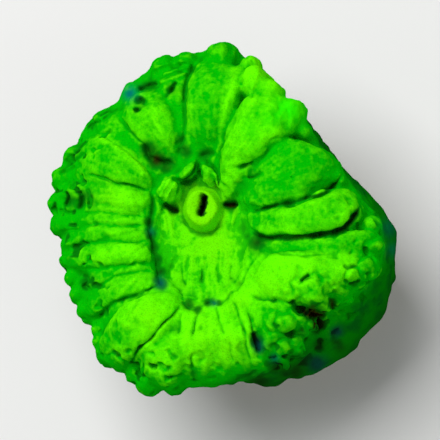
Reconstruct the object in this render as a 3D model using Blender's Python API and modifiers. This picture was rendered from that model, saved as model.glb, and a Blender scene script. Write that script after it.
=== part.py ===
"""Candy cane coral: one fleshy polyp head on its stalk, cut off flat below.

Metres, +Z up. The origin is the centre of the flat cut that the coral stands on.
The lobes were read off a photograph that looks down on the head, a little to one side
of the stalk's axis. A place in it is a column and a row of its 440 x 440 pixels, with
the height in millimetres that goes with it, and place() turns the three into a point.
"""

import math
from collections import namedtuple

import bmesh
import bpy
from mathutils import Matrix, Vector

MM = 0.001

# How the photograph sees the head: its scale, where the stalk's axis meets the level of
# the crests, and how far and which way the view leans from that axis
HEAD_WIDTH = 28.2 * MM
HEAD_PIXELS = 352
PIXEL = HEAD_WIDTH / HEAD_PIXELS
AXIS_COLUMN = 214
AXIS_ROW = 216
CREST_HEIGHT = 18.0 * MM
LEAN = math.radians(20)
LEAN_BEARING = math.radians(-45)

# The body of the coral: a loft through six outlines. 0 is the middle of its underside,
# 1 the round stalk, 2 the wall at its widest, 3 the rim, 4 the edge of the basin in
# the head, and 5 the middle of the basin. Each row is an outline and its height.
BODY_ROWS = (
    (0.0, -4.0),
    (1.0, -3.9),
    (1.0, 0.0),
    (1.04, 3.0),
    (1.3, 5.8),
    (1.75, 8.4),
    (1.96, 10.2),
    (2.0, 11.3),
    (2.06, 12.4),
    (2.5, 13.9),
    (2.86, 15.0),
    (2.98, 15.8),
    (3.04, 16.4),
    (3.18, 17.0),
    (3.4, 17.5),
    (3.7, 17.9),
    (3.98, 17.3),
    (4.25, 16.8),
    (5.0, 16.6),
)
STALK_RADIUS = 8.4 * MM
# The wall at its widest, in millimetres from the axis, every 30 degrees from +X
WALL_OUTLINE = (13.6, 11.5, 11.6, 12.6, 13.0, 12.8, 12.6, 12.3, 12.6, 13.0, 13.5, 14.0)
# The rim, clockwise from the back, as columns and rows of the photograph
RIM_HEIGHT = 17.4
RIM_OUTLINE = (
    (217, 49), (248, 60), (270, 90), (300, 110), (311, 143), (338, 180), (358, 205),
    (374, 219), (379, 240), (376, 258), (359, 284), (341, 297), (325, 309), (300, 328),
    (278, 346), (243, 368), (210, 380), (174, 386), (146, 383), (124, 370), (104, 360),
    (97, 340), (93, 319), (79, 305), (72, 288), (66, 272), (60, 256), (57, 238),
    (48, 219), (48, 200), (60, 180), (62, 166), (76, 146), (90, 126), (107, 109),
    (122, 100), (128, 86), (146, 78), (154, 67), (176, 58), (199, 53),
)
BASIN_HEIGHT = 17.2
BASIN_COLUMN = 203
BASIN_ROW = 236
BASIN_HALF_COLUMNS = 48
BASIN_HALF_ROWS = 68

# Solid settings
BODY_ROUNDS = 120
BODY_STATIONS = 80
LOBE_DEPTH = 1.7 * MM
LOBE_DEPTH_TO_WIDTH = 2.2
LOBE_FULLNESS = 1.25
LOBE_ROUNDS = 14
LOBE_STATIONS = 12
SPINE_STEP = 0.02
BLUNTNESS = 2.6
BUMP_DEPTH = 1.6
MOUTH_ROUNDS = 24
MOUTH_STATIONS = 14
SLIT_ROUNDS = 12
SLIT_STATIONS = 8
CUT_BLOCK_WIDTH = 60 * MM
CUT_BLOCK_DEPTH = 10 * MM
SKIN_VOXEL = 0.28 * MM
MOST_TRIANGLES = 9400

Lobe = namedtuple("Lobe", "name spine half_widths")
Bump = namedtuple("Bump", "column row height radius")

# Radial lobes, clockwise from the back: each spine runs outwards from the disc, as columns,
# rows and crest heights, with the half width in millimetres at each of its points
LOBES = (
    Lobe("back tall", ((202, 152, 18.2), (202, 110, 20.3), (212, 58, 18.7)), (0.75, 1.4, 1.8)),
    Lobe("back ridge", ((215, 158, 17.9), (222, 122, 19.5), (237, 74, 19.2)), (0.45, 0.7, 0.7)),
    Lobe("back bright", ((246, 92, 20.0), (252, 78, 20.5), (257, 66, 19.3)), (0.8, 1.1, 0.9)),
    Lobe(
        "big right",
        ((229, 190, 17.9), (240, 155, 20.0), (262, 122, 20.9), (287, 106, 19.8)),
        (0.7, 1.5, 2.0, 1.4),
    ),
    Lobe(
        "fan right",
        ((248, 201, 18.0), (275, 179, 19.7), (302, 167, 20.0), (332, 171, 18.0)),
        (0.5, 1.7, 2.2, 1.7),
    ),
    Lobe("long right", ((256, 220, 18.5), (300, 217, 20.3), (353, 202, 18.8)), (0.7, 1.4, 1.5)),
    Lobe(
        "shaded right",
        ((264, 251, 17.7), (300, 248, 18.9), (345, 240, 19.2), (371, 233, 18.2)),
        (0.5, 0.7, 0.8, 0.9),
    ),
    Lobe(
        "front right",
        ((251, 277, 18.5), (280, 276, 20.4), (322, 264, 19.8), (366, 258, 17.7)),
        (1.1, 1.7, 1.3, 1.0),
    ),
    Lobe("front right fold", ((243, 299, 18.6), (268, 309, 20.0), (297, 328, 18.2)), (0.8, 1.1, 1.2)),
    Lobe("front d", ((233, 299, 18.6), (243, 326, 19.8), (252, 360, 18.3)), (0.55, 0.75, 0.7)),
    Lobe("front c", ((221, 303, 18.5), (226, 333, 19.8), (236, 368, 18.3)), (0.5, 0.8, 0.9)),
    Lobe("front b", ((206, 307, 18.4), (206, 336, 19.8), (208, 371, 18.3)), (0.5, 0.85, 1.05)),
    Lobe("front a", ((190, 315, 18.4), (184, 341, 19.8), (177, 371, 18.3)), (0.5, 0.75, 0.95)),
    Lobe("front left broad", ((176, 320, 18.3), (160, 346, 19.8), (143, 375, 18.3)), (0.5, 1.15, 1.4)),
    Lobe("front left large", ((170, 298, 18.7), (146, 314, 20.4), (103, 350, 18.1)), (0.9, 1.5, 1.7)),
    Lobe("left g", ((153, 279, 18.5), (128, 288, 19.6), (84, 305, 17.8)), (0.6, 0.75, 0.8)),
    Lobe("left f", ((148, 266, 18.3), (120, 271, 19.4), (77, 278, 17.8)), (0.4, 0.55, 0.65)),
    Lobe("left e", ((148, 253, 18.6), (112, 252, 19.9), (67, 257, 18.0)), (0.65, 0.85, 0.65)),
    Lobe("left d", ((146, 235, 18.4), (115, 234, 19.5), (62, 240, 17.8)), (0.55, 0.65, 0.65)),
    Lobe("left c", ((148, 221, 18.4), (120, 219, 19.5), (62, 223, 17.8)), (0.35, 0.45, 0.75)),
    Lobe("left b", ((149, 211, 18.2), (122, 207, 19.3), (60, 206, 18.2)), (0.35, 0.5, 0.75)),
    Lobe("left a", ((149, 201, 18.4), (122, 193, 19.9), (65, 186, 18.3)), (0.5, 0.75, 0.8)),
    Lobe("left broad", ((150, 186, 18.3), (122, 166, 20.2), (75, 154, 18.2)), (0.5, 1.4, 1.8)),
    Lobe("left narrow", ((152, 172, 17.9), (136, 150, 19.0), (100, 116, 18.1)), (0.4, 0.65, 0.85)),
    Lobe("back left", ((170, 154, 18.2), (152, 128, 20.1), (136, 84, 18.2)), (0.8, 1.5, 1.6)),
    Lobe("back left ridge", ((181, 150, 17.9), (176, 115, 19.5), (171, 67, 18.5)), (0.4, 0.65, 0.8)),
)

# Curled folds round the mouth
CURLS = (
    Lobe("curl left", ((162, 202, 17.7), (169, 182, 18.4), (181, 167, 18.2)), (0.45, 0.6, 0.5)),
    Lobe("curl back", ((180, 173, 18.0), (188, 168, 18.6), (194, 158, 18.4)), (0.3, 0.45, 0.3)),
    Lobe("curl right", ((202, 168, 18.0), (209, 175, 18.2), (218, 182, 17.8)), (0.3, 0.45, 0.3)),
    Lobe("disc fold", ((164, 208, 17.3), (171, 220, 17.5), (173, 238, 17.2)), (0.25, 0.3, 0.2)),
)

# Rounded swellings: the lumps along the rim, and the knobs on the front right
BUMPS = (
    Bump(217, 56, 18.7, 1.00),
    Bump(200, 59, 18.7, 0.75),
    Bump(238, 64, 18.9, 0.85),
    Bump(252, 66, 19.0, 0.80),
    Bump(265, 80, 19.0, 0.75),
    Bump(289, 107, 20.0, 1.25),
    Bump(302, 127, 19.2, 0.85),
    Bump(318, 156, 18.6, 0.80),
    Bump(328, 172, 18.5, 0.80),
    Bump(351, 196, 19.0, 0.90),
    Bump(367, 219, 18.3, 0.95),
    Bump(370, 240, 18.2, 0.85),
    Bump(362, 262, 18.2, 0.85),
    Bump(310, 289, 20.5, 1.55),
    Bump(335, 272, 19.8, 0.95),
    Bump(350, 280, 18.8, 0.80),
    Bump(343, 296, 18.0, 0.65),
    Bump(292, 326, 19.2, 1.10),
    Bump(312, 323, 17.8, 0.60),
    Bump(284, 350, 18.3, 1.10),
    Bump(298, 344, 18.3, 0.70),
    Bump(270, 361, 18.0, 0.75),
    Bump(250, 368, 17.8, 0.75),
    Bump(228, 376, 17.6, 0.80),
    Bump(203, 378, 17.6, 0.80),
    Bump(180, 379, 17.6, 0.80),
    Bump(157, 381, 17.6, 0.85),
    Bump(139, 377, 17.6, 0.95),
    Bump(108, 352, 17.9, 0.90),
    Bump(100, 330, 17.9, 0.85),
    Bump(89, 305, 17.9, 0.90),
    Bump(80, 289, 17.7, 0.65),
    Bump(73, 273, 17.7, 0.65),
    Bump(66, 257, 17.7, 0.65),
    Bump(64, 240, 17.7, 0.65),
    Bump(57, 221, 17.8, 0.80),
    Bump(56, 199, 18.1, 0.95),
    Bump(72, 192, 19.0, 0.85),
    Bump(67, 172, 18.4, 0.75),
    Bump(69, 160, 18.4, 0.70),
    Bump(82, 144, 18.6, 0.80),
    Bump(94, 128, 18.6, 0.80),
    Bump(107, 113, 18.4, 0.80),
    Bump(130, 90, 18.4, 0.95),
    Bump(151, 74, 18.5, 0.95),
    Bump(168, 66, 18.5, 0.95),
    Bump(185, 63, 18.6, 0.85),
)

# The mouth: a low cone with a slit in its top
MOUTH_COLUMN = 203
MOUTH_ROW = 208
MOUTH_HEIGHT = 18.5
MOUTH_RADIUS = 1.55 * MM
MOUTH_STRETCH = 1.16
MOUTH_DEPTH = 1.15
SLIT_HALF_LENGTH = 0.58 * MM
SLIT_HALF_WIDTH = 0.22 * MM
SLIT_DEPTH = 1.5 * MM
SLIT_BEARING = math.radians(75)

FLESH_GREEN = (0.05, 0.62, 0.02, 1.0)
FLESH_ROUGHNESS = 0.6


def place(column, row, height):
    """The point at this height, in millimetres, that the photograph shows at this pixel."""
    across = Vector((column - AXIS_COLUMN, AXIS_ROW - row)) * PIXEL
    lean = Vector((math.cos(LEAN_BEARING), math.sin(LEAN_BEARING)))
    side = Vector((-lean.y, lean.x))
    above = height * MM - CREST_HEIGHT
    along = (across.dot(lean) + above * math.sin(LEAN)) / math.cos(LEAN)
    flat = along * lean + across.dot(side) * side
    return Vector((flat.x, flat.y, height * MM))


def between(values, share):
    """A smooth value at this share, 0 to 1, along evenly spaced numbers or vectors."""
    spans = len(values) - 1
    at = min(max(share, 0.0), 1.0) * spans
    i = min(int(at), spans - 1)
    t = at - i
    p1, p2 = values[i], values[i + 1]
    p0 = values[i - 1] if i > 0 else 2 * p1 - p2
    p3 = values[i + 2] if i + 2 <= spans else 2 * p2 - p1
    bend = 2 * p0 - 5 * p1 + 4 * p2 - p3
    twist = 3 * (p1 - p2) + p3 - p0
    return p1 + 0.5 * t * ((p2 - p0) + t * (bend + t * twist))


def stalk_outline(bearing):
    return Vector((math.cos(bearing), math.sin(bearing))) * STALK_RADIUS


def wall_outline(bearing):
    """The wall at its widest, smooth all the way round."""
    count = len(WALL_OUTLINE)
    turn = (bearing / math.tau) % 1.0 * count
    first = int(turn)
    near = [WALL_OUTLINE[(first + step) % count] for step in (-1, 0, 1, 2)]
    radius = between(near, (1 + turn - first) / 3) * MM
    return Vector((math.cos(bearing), math.sin(bearing))) * radius


def rim_outline(bearing):
    """The rim at this bearing, between the two nearest of its points."""
    aim = Vector((math.cos(bearing), math.sin(bearing)))
    points = [place(*spot, RIM_HEIGHT).to_2d() for spot in RIM_OUTLINE]
    for first, second in zip(points, points[1:] + points[:1]):
        before, after = aim.cross(first), aim.cross(second)
        if before >= 0 > after and aim.dot(first) > 0:
            share = before / (before - after)
            return first.lerp(second, share)
    raise ValueError("the rim has a gap")


def basin_outline(bearing):
    column = BASIN_COLUMN + BASIN_HALF_COLUMNS * math.cos(bearing)
    row = BASIN_ROW - BASIN_HALF_ROWS * math.sin(bearing)
    return place(column, row, BASIN_HEIGHT).to_2d()


def new_object(name, collection):
    obj = bpy.data.objects.new(name, bpy.data.meshes.new(name))
    collection.objects.link(obj)
    return obj


def add_body(form):
    """Stalk, wall, rim and basin: a sphere whose rows are drawn out to the outlines."""
    made = bmesh.ops.create_uvsphere(
        form, u_segments=BODY_ROUNDS, v_segments=BODY_STATIONS, radius=1.0
    )
    rows = [Vector(row) for row in BODY_ROWS]
    underside = Vector((0, 0))
    middle = place(BASIN_COLUMN, BASIN_ROW, BASIN_HEIGHT).to_2d()
    rings = {}
    for vertex in made["verts"]:
        up = math.acos(max(-1.0, min(1.0, -vertex.co.z))) / math.pi
        bearing = math.atan2(vertex.co.y, vertex.co.x)
        key = round(bearing, 4)
        if key not in rings:
            rings[key] = (
                underside,
                stalk_outline(bearing),
                wall_outline(bearing),
                rim_outline(bearing),
                basin_outline(bearing),
                middle,
            )
        level, height = between(rows, up)
        lower = min(max(int(level), 0), 4)
        flat = rings[key][lower].lerp(rings[key][lower + 1], level - lower)
        vertex.co = Vector((flat.x, flat.y, height * MM))


def add_lobe(form, lobe):
    """One lobe: a sphere drawn out along its spine, blunt at both ends."""
    crests = [place(*spot) for spot in lobe.spine]
    widths = [width * LOBE_FULLNESS * MM for width in lobe.half_widths]
    depths = [min(LOBE_DEPTH, LOBE_DEPTH_TO_WIDTH * width) for width in widths]
    made = bmesh.ops.create_uvsphere(
        form, u_segments=LOBE_ROUNDS, v_segments=LOBE_STATIONS, radius=1.0
    )
    for vertex in made["verts"]:
        share = (vertex.co.z + 1) / 2
        fullness = (1 - abs(vertex.co.z) ** BLUNTNESS) ** (1 / BLUNTNESS)
        turn = math.atan2(vertex.co.y, vertex.co.x)
        forward = between(crests, share + SPINE_STEP) - between(crests, share - SPINE_STEP)
        sideways = Vector((-forward.y, forward.x, 0)).normalized()
        depth = between(depths, share)
        sunk = Vector((0, 0, depth))
        middle = between(crests, share) - sunk
        offset = sideways * math.cos(turn) * between(widths, share) + sunk * math.sin(turn)
        vertex.co = middle + offset * fullness


def add_bump(form, bump):
    """One swelling, deeper than it is wide so that it is rooted in the body."""
    radius = bump.radius * MM
    top = place(bump.column, bump.row, bump.height)
    middle = Matrix.Translation(top - Vector((0, 0, BUMP_DEPTH * radius)))
    deeper = Matrix.Diagonal((1.0, 1.0, BUMP_DEPTH, 1.0))
    bmesh.ops.create_icosphere(form, subdivisions=2, radius=radius, matrix=middle @ deeper)


def add_mouth(form):
    top = place(MOUTH_COLUMN, MOUTH_ROW, MOUTH_HEIGHT)
    stretch = Matrix.Diagonal((1.0, MOUTH_STRETCH, MOUTH_DEPTH, 1.0))
    middle = Matrix.Translation(top - Vector((0, 0, MOUTH_DEPTH * MOUTH_RADIUS)))
    bmesh.ops.create_uvsphere(
        form,
        u_segments=MOUTH_ROUNDS,
        v_segments=MOUTH_STATIONS,
        radius=MOUTH_RADIUS,
        matrix=middle @ stretch,
    )


def make_cut(cutters):
    """The block below the coral, whose top is the flat cut that it stands on."""
    cut = new_object("ground_cutter", cutters)
    form = bmesh.new()
    bmesh.ops.create_cube(form, size=1.0)
    size = (CUT_BLOCK_WIDTH, CUT_BLOCK_WIDTH, CUT_BLOCK_DEPTH)
    bmesh.ops.scale(form, vec=size, verts=form.verts)
    bmesh.ops.translate(form, vec=(0, 0, -CUT_BLOCK_DEPTH / 2), verts=form.verts)
    form.to_mesh(cut.data)
    form.free()
    return cut


def make_slit(cutters):
    """The narrow opening of the mouth, sunk into its cone."""
    slit = new_object("slit_cutter", cutters)
    form = bmesh.new()
    bmesh.ops.create_uvsphere(
        form, u_segments=SLIT_ROUNDS, v_segments=SLIT_STATIONS, radius=1.0
    )
    size = (SLIT_HALF_LENGTH, SLIT_HALF_WIDTH, SLIT_DEPTH)
    bmesh.ops.scale(form, vec=size, verts=form.verts)
    turn = Matrix.Rotation(SLIT_BEARING, 4, "Z")
    bmesh.ops.transform(form, matrix=turn, verts=form.verts)
    bmesh.ops.translate(
        form, vec=place(MOUTH_COLUMN, MOUTH_ROW, MOUTH_HEIGHT), verts=form.verts
    )
    form.to_mesh(slit.data)
    form.free()
    return slit


def make_flesh():
    flesh = bpy.data.materials.new("coral_flesh")
    flesh.use_nodes = True
    shader = flesh.node_tree.nodes["Principled BSDF"]
    shader.inputs["Base Color"].default_value = FLESH_GREEN
    shader.inputs["Roughness"].default_value = FLESH_ROUGHNESS
    flesh.diffuse_color = FLESH_GREEN
    return flesh


def cut_with(obj, cutter):
    cutter.hide_render = True
    cutter.display_type = "WIRE"
    cut = obj.modifiers.new(cutter.name, "BOOLEAN")
    cut.operation = "DIFFERENCE"
    cut.solver = "EXACT"
    cut.object = cutter


def outer_skin(form):
    """Deletes the skins of any voids that the lobes close in, which leaves the largest skin."""
    loose = set(form.verts)
    skins = []
    while loose:
        skin = set()
        edge = {loose.pop()}
        while edge:
            skin |= edge
            near = {link.other_vert(vertex) for vertex in edge for link in vertex.link_edges}
            edge = near - skin
        loose -= skin
        skins.append(skin)
    skins.sort(key=len)
    inner = [vertex for skin in skins[:-1] for vertex in skin]
    bmesh.ops.delete(form, geom=inner, context="VERTS")


def make_coral(collection, cutters):
    """Body, lobes, curls and bumps grown into one skin, cut flat below and slit at the mouth."""
    coral = new_object("coral_head", collection)
    form = bmesh.new()
    add_body(form)
    for lobe in LOBES + CURLS:
        add_lobe(form, lobe)
    for bump in BUMPS:
        add_bump(form, bump)
    add_mouth(form)
    form.to_mesh(coral.data)
    skin = coral.modifiers.new("one skin", "REMESH")
    skin.mode = "VOXEL"
    skin.voxel_size = SKIN_VOXEL
    graph = bpy.context.evaluated_depsgraph_get()
    form.clear()
    form.from_mesh(coral.evaluated_get(graph).to_mesh())
    coral.modifiers.remove(skin)
    outer_skin(form)
    form.to_mesh(coral.data)
    form.free()
    coral.data.shade_smooth()
    coral.data.materials.append(make_flesh())
    thin = coral.modifiers.new("fewer faces", "DECIMATE")
    thin.ratio = MOST_TRIANGLES / (2 * len(coral.data.polygons))
    thin.use_collapse_triangulate = True
    cut_with(coral, make_cut(cutters))
    cut_with(coral, make_slit(cutters))
    return coral


def main():
    for obj in list(bpy.data.objects):
        bpy.data.objects.remove(obj)
    scene = bpy.context.scene
    collection = bpy.data.collections.new("candy_cane_coral")
    cutters = bpy.data.collections.new("cutters")
    scene.collection.children.link(collection)
    scene.collection.children.link(cutters)
    make_coral(collection, cutters)


main()
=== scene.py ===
import math
from collections import namedtuple

import bmesh
import bpy
import numpy as np
from bpy.props import FloatProperty, FloatVectorProperty, IntProperty, PointerProperty
from mathutils import Euler, Matrix, Vector


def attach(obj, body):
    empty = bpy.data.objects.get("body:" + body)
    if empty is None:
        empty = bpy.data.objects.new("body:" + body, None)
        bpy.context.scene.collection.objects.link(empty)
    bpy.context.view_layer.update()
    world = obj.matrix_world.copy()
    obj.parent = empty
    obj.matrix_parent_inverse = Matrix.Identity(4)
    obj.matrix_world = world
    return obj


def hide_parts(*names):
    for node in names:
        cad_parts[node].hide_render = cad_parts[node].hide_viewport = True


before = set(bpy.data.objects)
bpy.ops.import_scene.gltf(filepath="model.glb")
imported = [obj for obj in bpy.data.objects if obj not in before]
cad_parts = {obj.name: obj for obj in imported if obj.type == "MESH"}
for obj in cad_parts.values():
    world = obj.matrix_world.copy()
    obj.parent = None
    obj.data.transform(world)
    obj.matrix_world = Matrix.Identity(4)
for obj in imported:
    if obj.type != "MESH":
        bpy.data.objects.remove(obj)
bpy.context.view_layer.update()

bl_info = {
    "name": "Candy Cane Coral",
    "version": (1, 0, 0),
    "blender": (4, 5, 0),
    "location": "View3D > Sidebar > Coral",
    "description": "Grows a fleshy green coral head on its cut stalk and sets a plain studio round it",
    "category": "Object",
}

CORAL_NODE = "coral_head"

MM = 0.001

# How the reference picture, 440 x 440 pixels, sees the head
PICTURE_SIZE = 440
HEAD_PIXELS = 352
HEAD_WIDTH = 28.2 * MM
PIXEL = HEAD_WIDTH / HEAD_PIXELS
AXIS_COLUMN = 214
AXIS_ROW = 216
CREST_HEIGHT = 18.0
LEAN = math.radians(20)
LEAN_BEARING = math.radians(-45)

# The body: a loft through six outlines. 0 is the middle of its underside, 1 the round
# stalk, 2 the wall at its widest, 3 the rim, 4 the edge of the basin and 5 its middle.
# Each row is an outline and its height in millimetres.
BODY_ROWS = (
    (0.0, -4.0), (1.0, -3.9), (1.0, 0.0), (1.04, 3.0), (1.3, 5.8), (1.75, 8.4), (1.96, 10.2), (2.0, 11.3),
    (2.06, 12.4), (2.5, 13.9), (2.86, 15.0), (2.98, 15.8), (3.04, 16.5), (3.18, 17.5), (3.4, 18.7),
    (3.7, 19.1), (3.97, 18.0), (4.2, 16.9), (5.0, 16.6),
)
STALK_RADIUS = 8.4
WALL_OUTLINE = (13.3, 10.6, 11.1, 12.4, 13.0, 12.8, 12.6, 12.3, 12.4, 12.1, 13.5, 14.15)
RIM_HEIGHT = 17.4
RIM_OUTLINE = (
    (217, 40), (237, 49), (249, 52), (262, 66), (271, 80), (276, 90), (295, 98), (302, 112), (308, 124),
    (316, 142), (330, 160), (343, 174), (356, 190), (366, 203), (374, 216), (379, 232), (379, 248),
    (375, 262), (359, 284), (341, 297), (325, 309), (300, 328), (285, 348), (250, 366), (212, 380),
    (180, 384), (150, 386), (128, 375), (104, 363), (92, 346), (88, 326), (77, 312), (72, 297), (65, 281),
    (58, 267), (54, 251), (55, 234), (48, 222), (44, 206), (47, 192), (53, 178), (52, 161), (64, 146),
    (72, 131), (80, 114), (93, 101), (111, 95), (118, 81), (135, 69), (148, 57), (170, 48), (194, 44),
)
BASIN_HEIGHT = 17.2
BASIN_COLUMN = 203
BASIN_ROW = 236
BASIN_HALF_COLUMNS = 48
BASIN_HALF_ROWS = 68

Lobe = namedtuple("Lobe", "spine half_widths tones")
Crease = namedtuple("Crease", "line width depth")
Spot = namedtuple("Spot", "column row radius height")
Grain = namedtuple("Grain", "size height seed")


def lobe_rows(*rows):
    """Lobes from rows of the tones and then points: column, row, height and half width."""
    return [Lobe([at[:3] for at in points], [at[3] for at in points], tones) for tones, *points in rows]


def crease_rows(*rows):
    """Creases from rows of a half width, a depth and then column and row of each point in turn."""
    return [Crease(list(zip(at[::2], at[1::2])), width, depth) for width, depth, *at in rows]


def spot_rows(*rows):
    return [Spot(*row) for row in rows]


# Radial lobes, clockwise from the back: the tones at the inner and the outer end, from 0,
# deep green, to 1, yellow green, and the points of the crest from the basin outwards, with
# picture column and row, and height and half width in millimetres
LOBES = lobe_rows(
    ((-0.1, 0.25), (200, 160, 18.1, 0.95), (202, 124, 19.8, 1.4), (206, 88, 20.3, 1.6),
     (214, 51, 18.8, 1.6)),
    ((0.15, 0.65), (214, 158, 18.0, 0.55), (221, 122, 19.6, 0.65), (227, 90, 20.2, 0.75),
     (235, 60, 19.3, 1.0)),
    ((0.05, 0.2), (218, 172, 17.8, 0.6), (229, 134, 18.9, 0.75), (241, 100, 19.2, 0.8)),
    ((0.95, 0.95), (239, 86, 19.6, 0.9), (250, 80, 20.4, 1.2), (262, 82, 20.0, 1.0)),
    ((0.85, 0.8), (248, 96, 19.6, 0.9), (262, 92, 20.2, 1.2), (274, 100, 20.0, 1.05)),
    ((0.8, 0.35), (225, 194, 18.1, 0.7), (233, 162, 19.6, 1.3), (245, 136, 20.6, 1.8),
     (265, 114, 20.8, 2.1), (292, 108, 19.8, 1.6)),
    ((-0.1, -0.05), (234, 200, 17.9, 0.7), (260, 188, 19.4, 1.5), (286, 168, 20.0, 2.35),
     (312, 165, 19.5, 1.6), (336, 171, 18.5, 1.1)),
    ((0.25, 0.45), (246, 221, 18.2, 0.8), (279, 220, 19.9, 1.25), (306, 215, 20.2, 1.5),
     (331, 204, 20.0, 1.65), (351, 191, 19.0, 1.5)),
    ((-0.25, 0.35), (266, 248, 18.3, 0.5), (300, 246, 19.3, 0.75), (335, 241, 19.6, 0.85),
     (374, 235, 18.3, 0.9)),
    ((0.95, 0.85), (250, 285, 18.7, 1.2), (268, 276, 20.2, 1.9), (295, 272, 20.6, 1.8),
     (325, 266, 20.0, 1.5), (352, 260, 19.1, 1.3), (373, 254, 18.1, 1.1)),
    ((0.9, 0.0), (243, 300, 18.7, 0.9), (262, 310, 19.9, 1.25), (282, 318, 19.7, 1.3),
     (297, 328, 18.5, 1.1)),
    ((0.1, -0.1), (262, 318, 18.9, 0.8), (272, 332, 19.3, 1.1), (284, 344, 18.5, 0.9)),
    ((0.95, 0.5), (234, 295, 18.6, 0.55), (243, 322, 19.8, 0.75), (250, 345, 19.2, 0.8),
     (258, 368, 17.8, 0.8)),
    ((1.0, 0.6), (223, 303, 18.6, 0.6), (230, 335, 19.8, 0.75), (239, 374, 17.8, 1.0)),
    ((1.0, 0.6), (209, 306, 18.6, 0.6), (215, 338, 19.8, 0.8), (221, 378, 17.8, 1.0)),
    ((1.0, 0.55), (202, 312, 18.4, 0.5), (200, 340, 19.7, 0.75), (203, 380, 17.8, 0.95)),
    ((0.95, 0.55), (188, 314, 18.4, 0.5), (186, 342, 19.7, 0.75), (184, 378, 18.0, 1.0)),
    ((0.85, 0.45), (176, 319, 18.5, 0.6), (167, 336, 19.7, 1.2), (159, 355, 19.9, 1.6),
     (149, 380, 18.5, 1.7)),
    ((1.0, 0.45), (175, 294, 19.0, 0.9), (158, 304, 20.3, 1.4), (140, 317, 20.7, 1.7),
     (121, 333, 20.1, 1.75), (99, 353, 18.2, 1.6)),
    ((0.6, 0.1), (155, 277, 18.6, 0.7), (130, 284, 19.5, 0.85), (107, 294, 19.1, 0.9),
     (80, 307, 17.9, 1.0)),
    ((0.45, 0.05), (152, 267, 18.3, 0.4), (125, 270, 19.2, 0.55), (100, 276, 18.8, 0.6),
     (71, 286, 17.9, 0.8)),
    ((0.8, 0.25), (153, 252, 18.7, 0.7), (125, 252, 19.6, 0.9), (95, 254, 19.2, 0.9),
     (60, 259, 18.0, 0.8)),
    ((0.55, 0.15), (148, 233, 18.4, 0.5), (120, 231, 19.3, 0.65), (95, 233, 19.0, 0.75),
     (57, 241, 18.0, 0.8)),
    ((0.6, 0.1), (146, 221, 18.3, 0.45), (120, 220, 19.2, 0.55), (98, 219, 18.9, 0.7),
     (51, 221, 18.0, 1.0)),
    ((0.7, 0.05), (147, 211, 18.4, 0.4), (120, 210, 19.2, 0.55), (98, 208, 18.8, 0.65),
     (48, 203, 18.1, 0.8)),
    ((0.7, 0.2), (149, 202, 18.6, 0.6), (125, 197, 19.6, 0.9), (100, 191, 19.3, 0.9),
     (53, 187, 18.3, 0.8)),
    ((0.1, 0.35), (155, 186, 18.4, 0.5), (137, 175, 19.6, 1.05), (115, 164, 20.1, 1.6),
     (93, 155, 19.6, 1.85), (67, 152, 18.2, 1.7)),
    ((0.0, 0.2), (156, 170, 18.0, 0.4), (143, 156, 18.9, 0.75), (128, 141, 19.3, 1.0),
     (112, 125, 19.1, 1.2), (93, 113, 18.2, 1.2)),
    ((0.15, 0.3), (172, 163, 18.3, 0.8), (158, 136, 19.8, 1.45), (143, 113, 20.1, 1.75),
     (130, 87, 18.7, 1.6)),
    ((0.1, 0.15), (178, 154, 17.8, 0.5), (176, 120, 18.9, 0.8), (173, 95, 19.2, 1.0),
     (168, 63, 18.5, 1.3)),
)

# Curled folds and flaps round the mouth, in the same way but without tones
CURLS = lobe_rows(
    (None, (157, 202, 18.0, 0.6), (162, 193, 18.8, 0.7), (168, 183, 19.0, 0.7), (176, 172, 18.6, 0.5)),
    (None, (177, 175, 18.3, 0.35), (186, 168, 18.9, 0.5), (194, 156, 18.4, 0.25)),
    (None, (200, 162, 18.3, 0.25), (204, 171, 18.6, 0.5), (210, 181, 18.0, 0.35)),
    (None, (211, 168, 18.2, 0.2), (216, 176, 18.3, 0.22), (219, 186, 17.8, 0.2)),
)

# Lumps along the rim, clockwise from the back, and the knobs of the front right: column,
# row, and radius and height in millimetres
BUMPS = spot_rows(
    (216, 51, 1.55, 18.8), (247, 61, 0.95, 18.8), (260, 79, 0.9, 19.0), (288, 108, 1.2, 19.6),
    (300, 128, 0.8, 18.4), (319, 161, 0.7, 18.4), (336, 177, 0.62, 18.0), (369, 222, 0.79, 18.0),
    (371, 241, 0.75, 18.0), (368, 258, 0.62, 17.8), (363, 270, 0.62, 17.8), (351, 276, 0.79, 18.3),
    (340, 292, 0.75, 17.9), (337, 283, 0.7, 18.9), (331, 297, 0.55, 18.0), (309, 290, 1.35, 20.3),
    (300, 286, 0.6, 20.3), (316, 283, 0.6, 20.3), (318, 297, 0.6, 20.0), (307, 301, 0.6, 19.8),
    (290, 317, 0.9, 19.5), (300, 314, 0.5, 19.2), (298, 325, 0.65, 18.7), (280, 322, 0.7, 19.7),
    (285, 338, 0.9, 18.9), (277, 333, 0.6, 19.2), (293, 345, 0.7, 18.0), (277, 349, 0.8, 18.3),
    (264, 356, 0.7, 17.8), (308, 322, 0.4, 17.9), (313, 325, 0.38, 17.7), (284, 363, 0.44, 16.6),
    (250, 366, 0.66, 17.4), (170, 380, 0.95, 17.3), (143, 378, 1.06, 17.5), (131, 369, 0.95, 17.4),
    (118, 360, 0.84, 17.2), (103, 350, 1.06, 17.4), (96, 339, 0.64, 17.3), (97, 327, 0.84, 17.4),
    (84, 308, 1.06, 17.4), (75, 292, 0.79, 17.4), (68, 276, 0.64, 17.4), (62, 260, 0.64, 17.5),
    (63, 242, 0.79, 17.4), (56, 221, 1.16, 17.6), (50, 201, 0.84, 17.6), (56, 192, 0.74, 17.8),
    (64, 190, 0.84, 17.9), (85, 199, 0.5, 19.0), (57, 175, 1.16, 17.8), (70, 152, 1.2, 17.6),
    (98, 119, 1.3, 17.6), (129, 90, 1.4, 17.6), (160, 63, 1.37, 17.8), (183, 58, 1.21, 17.9),
)

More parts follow.
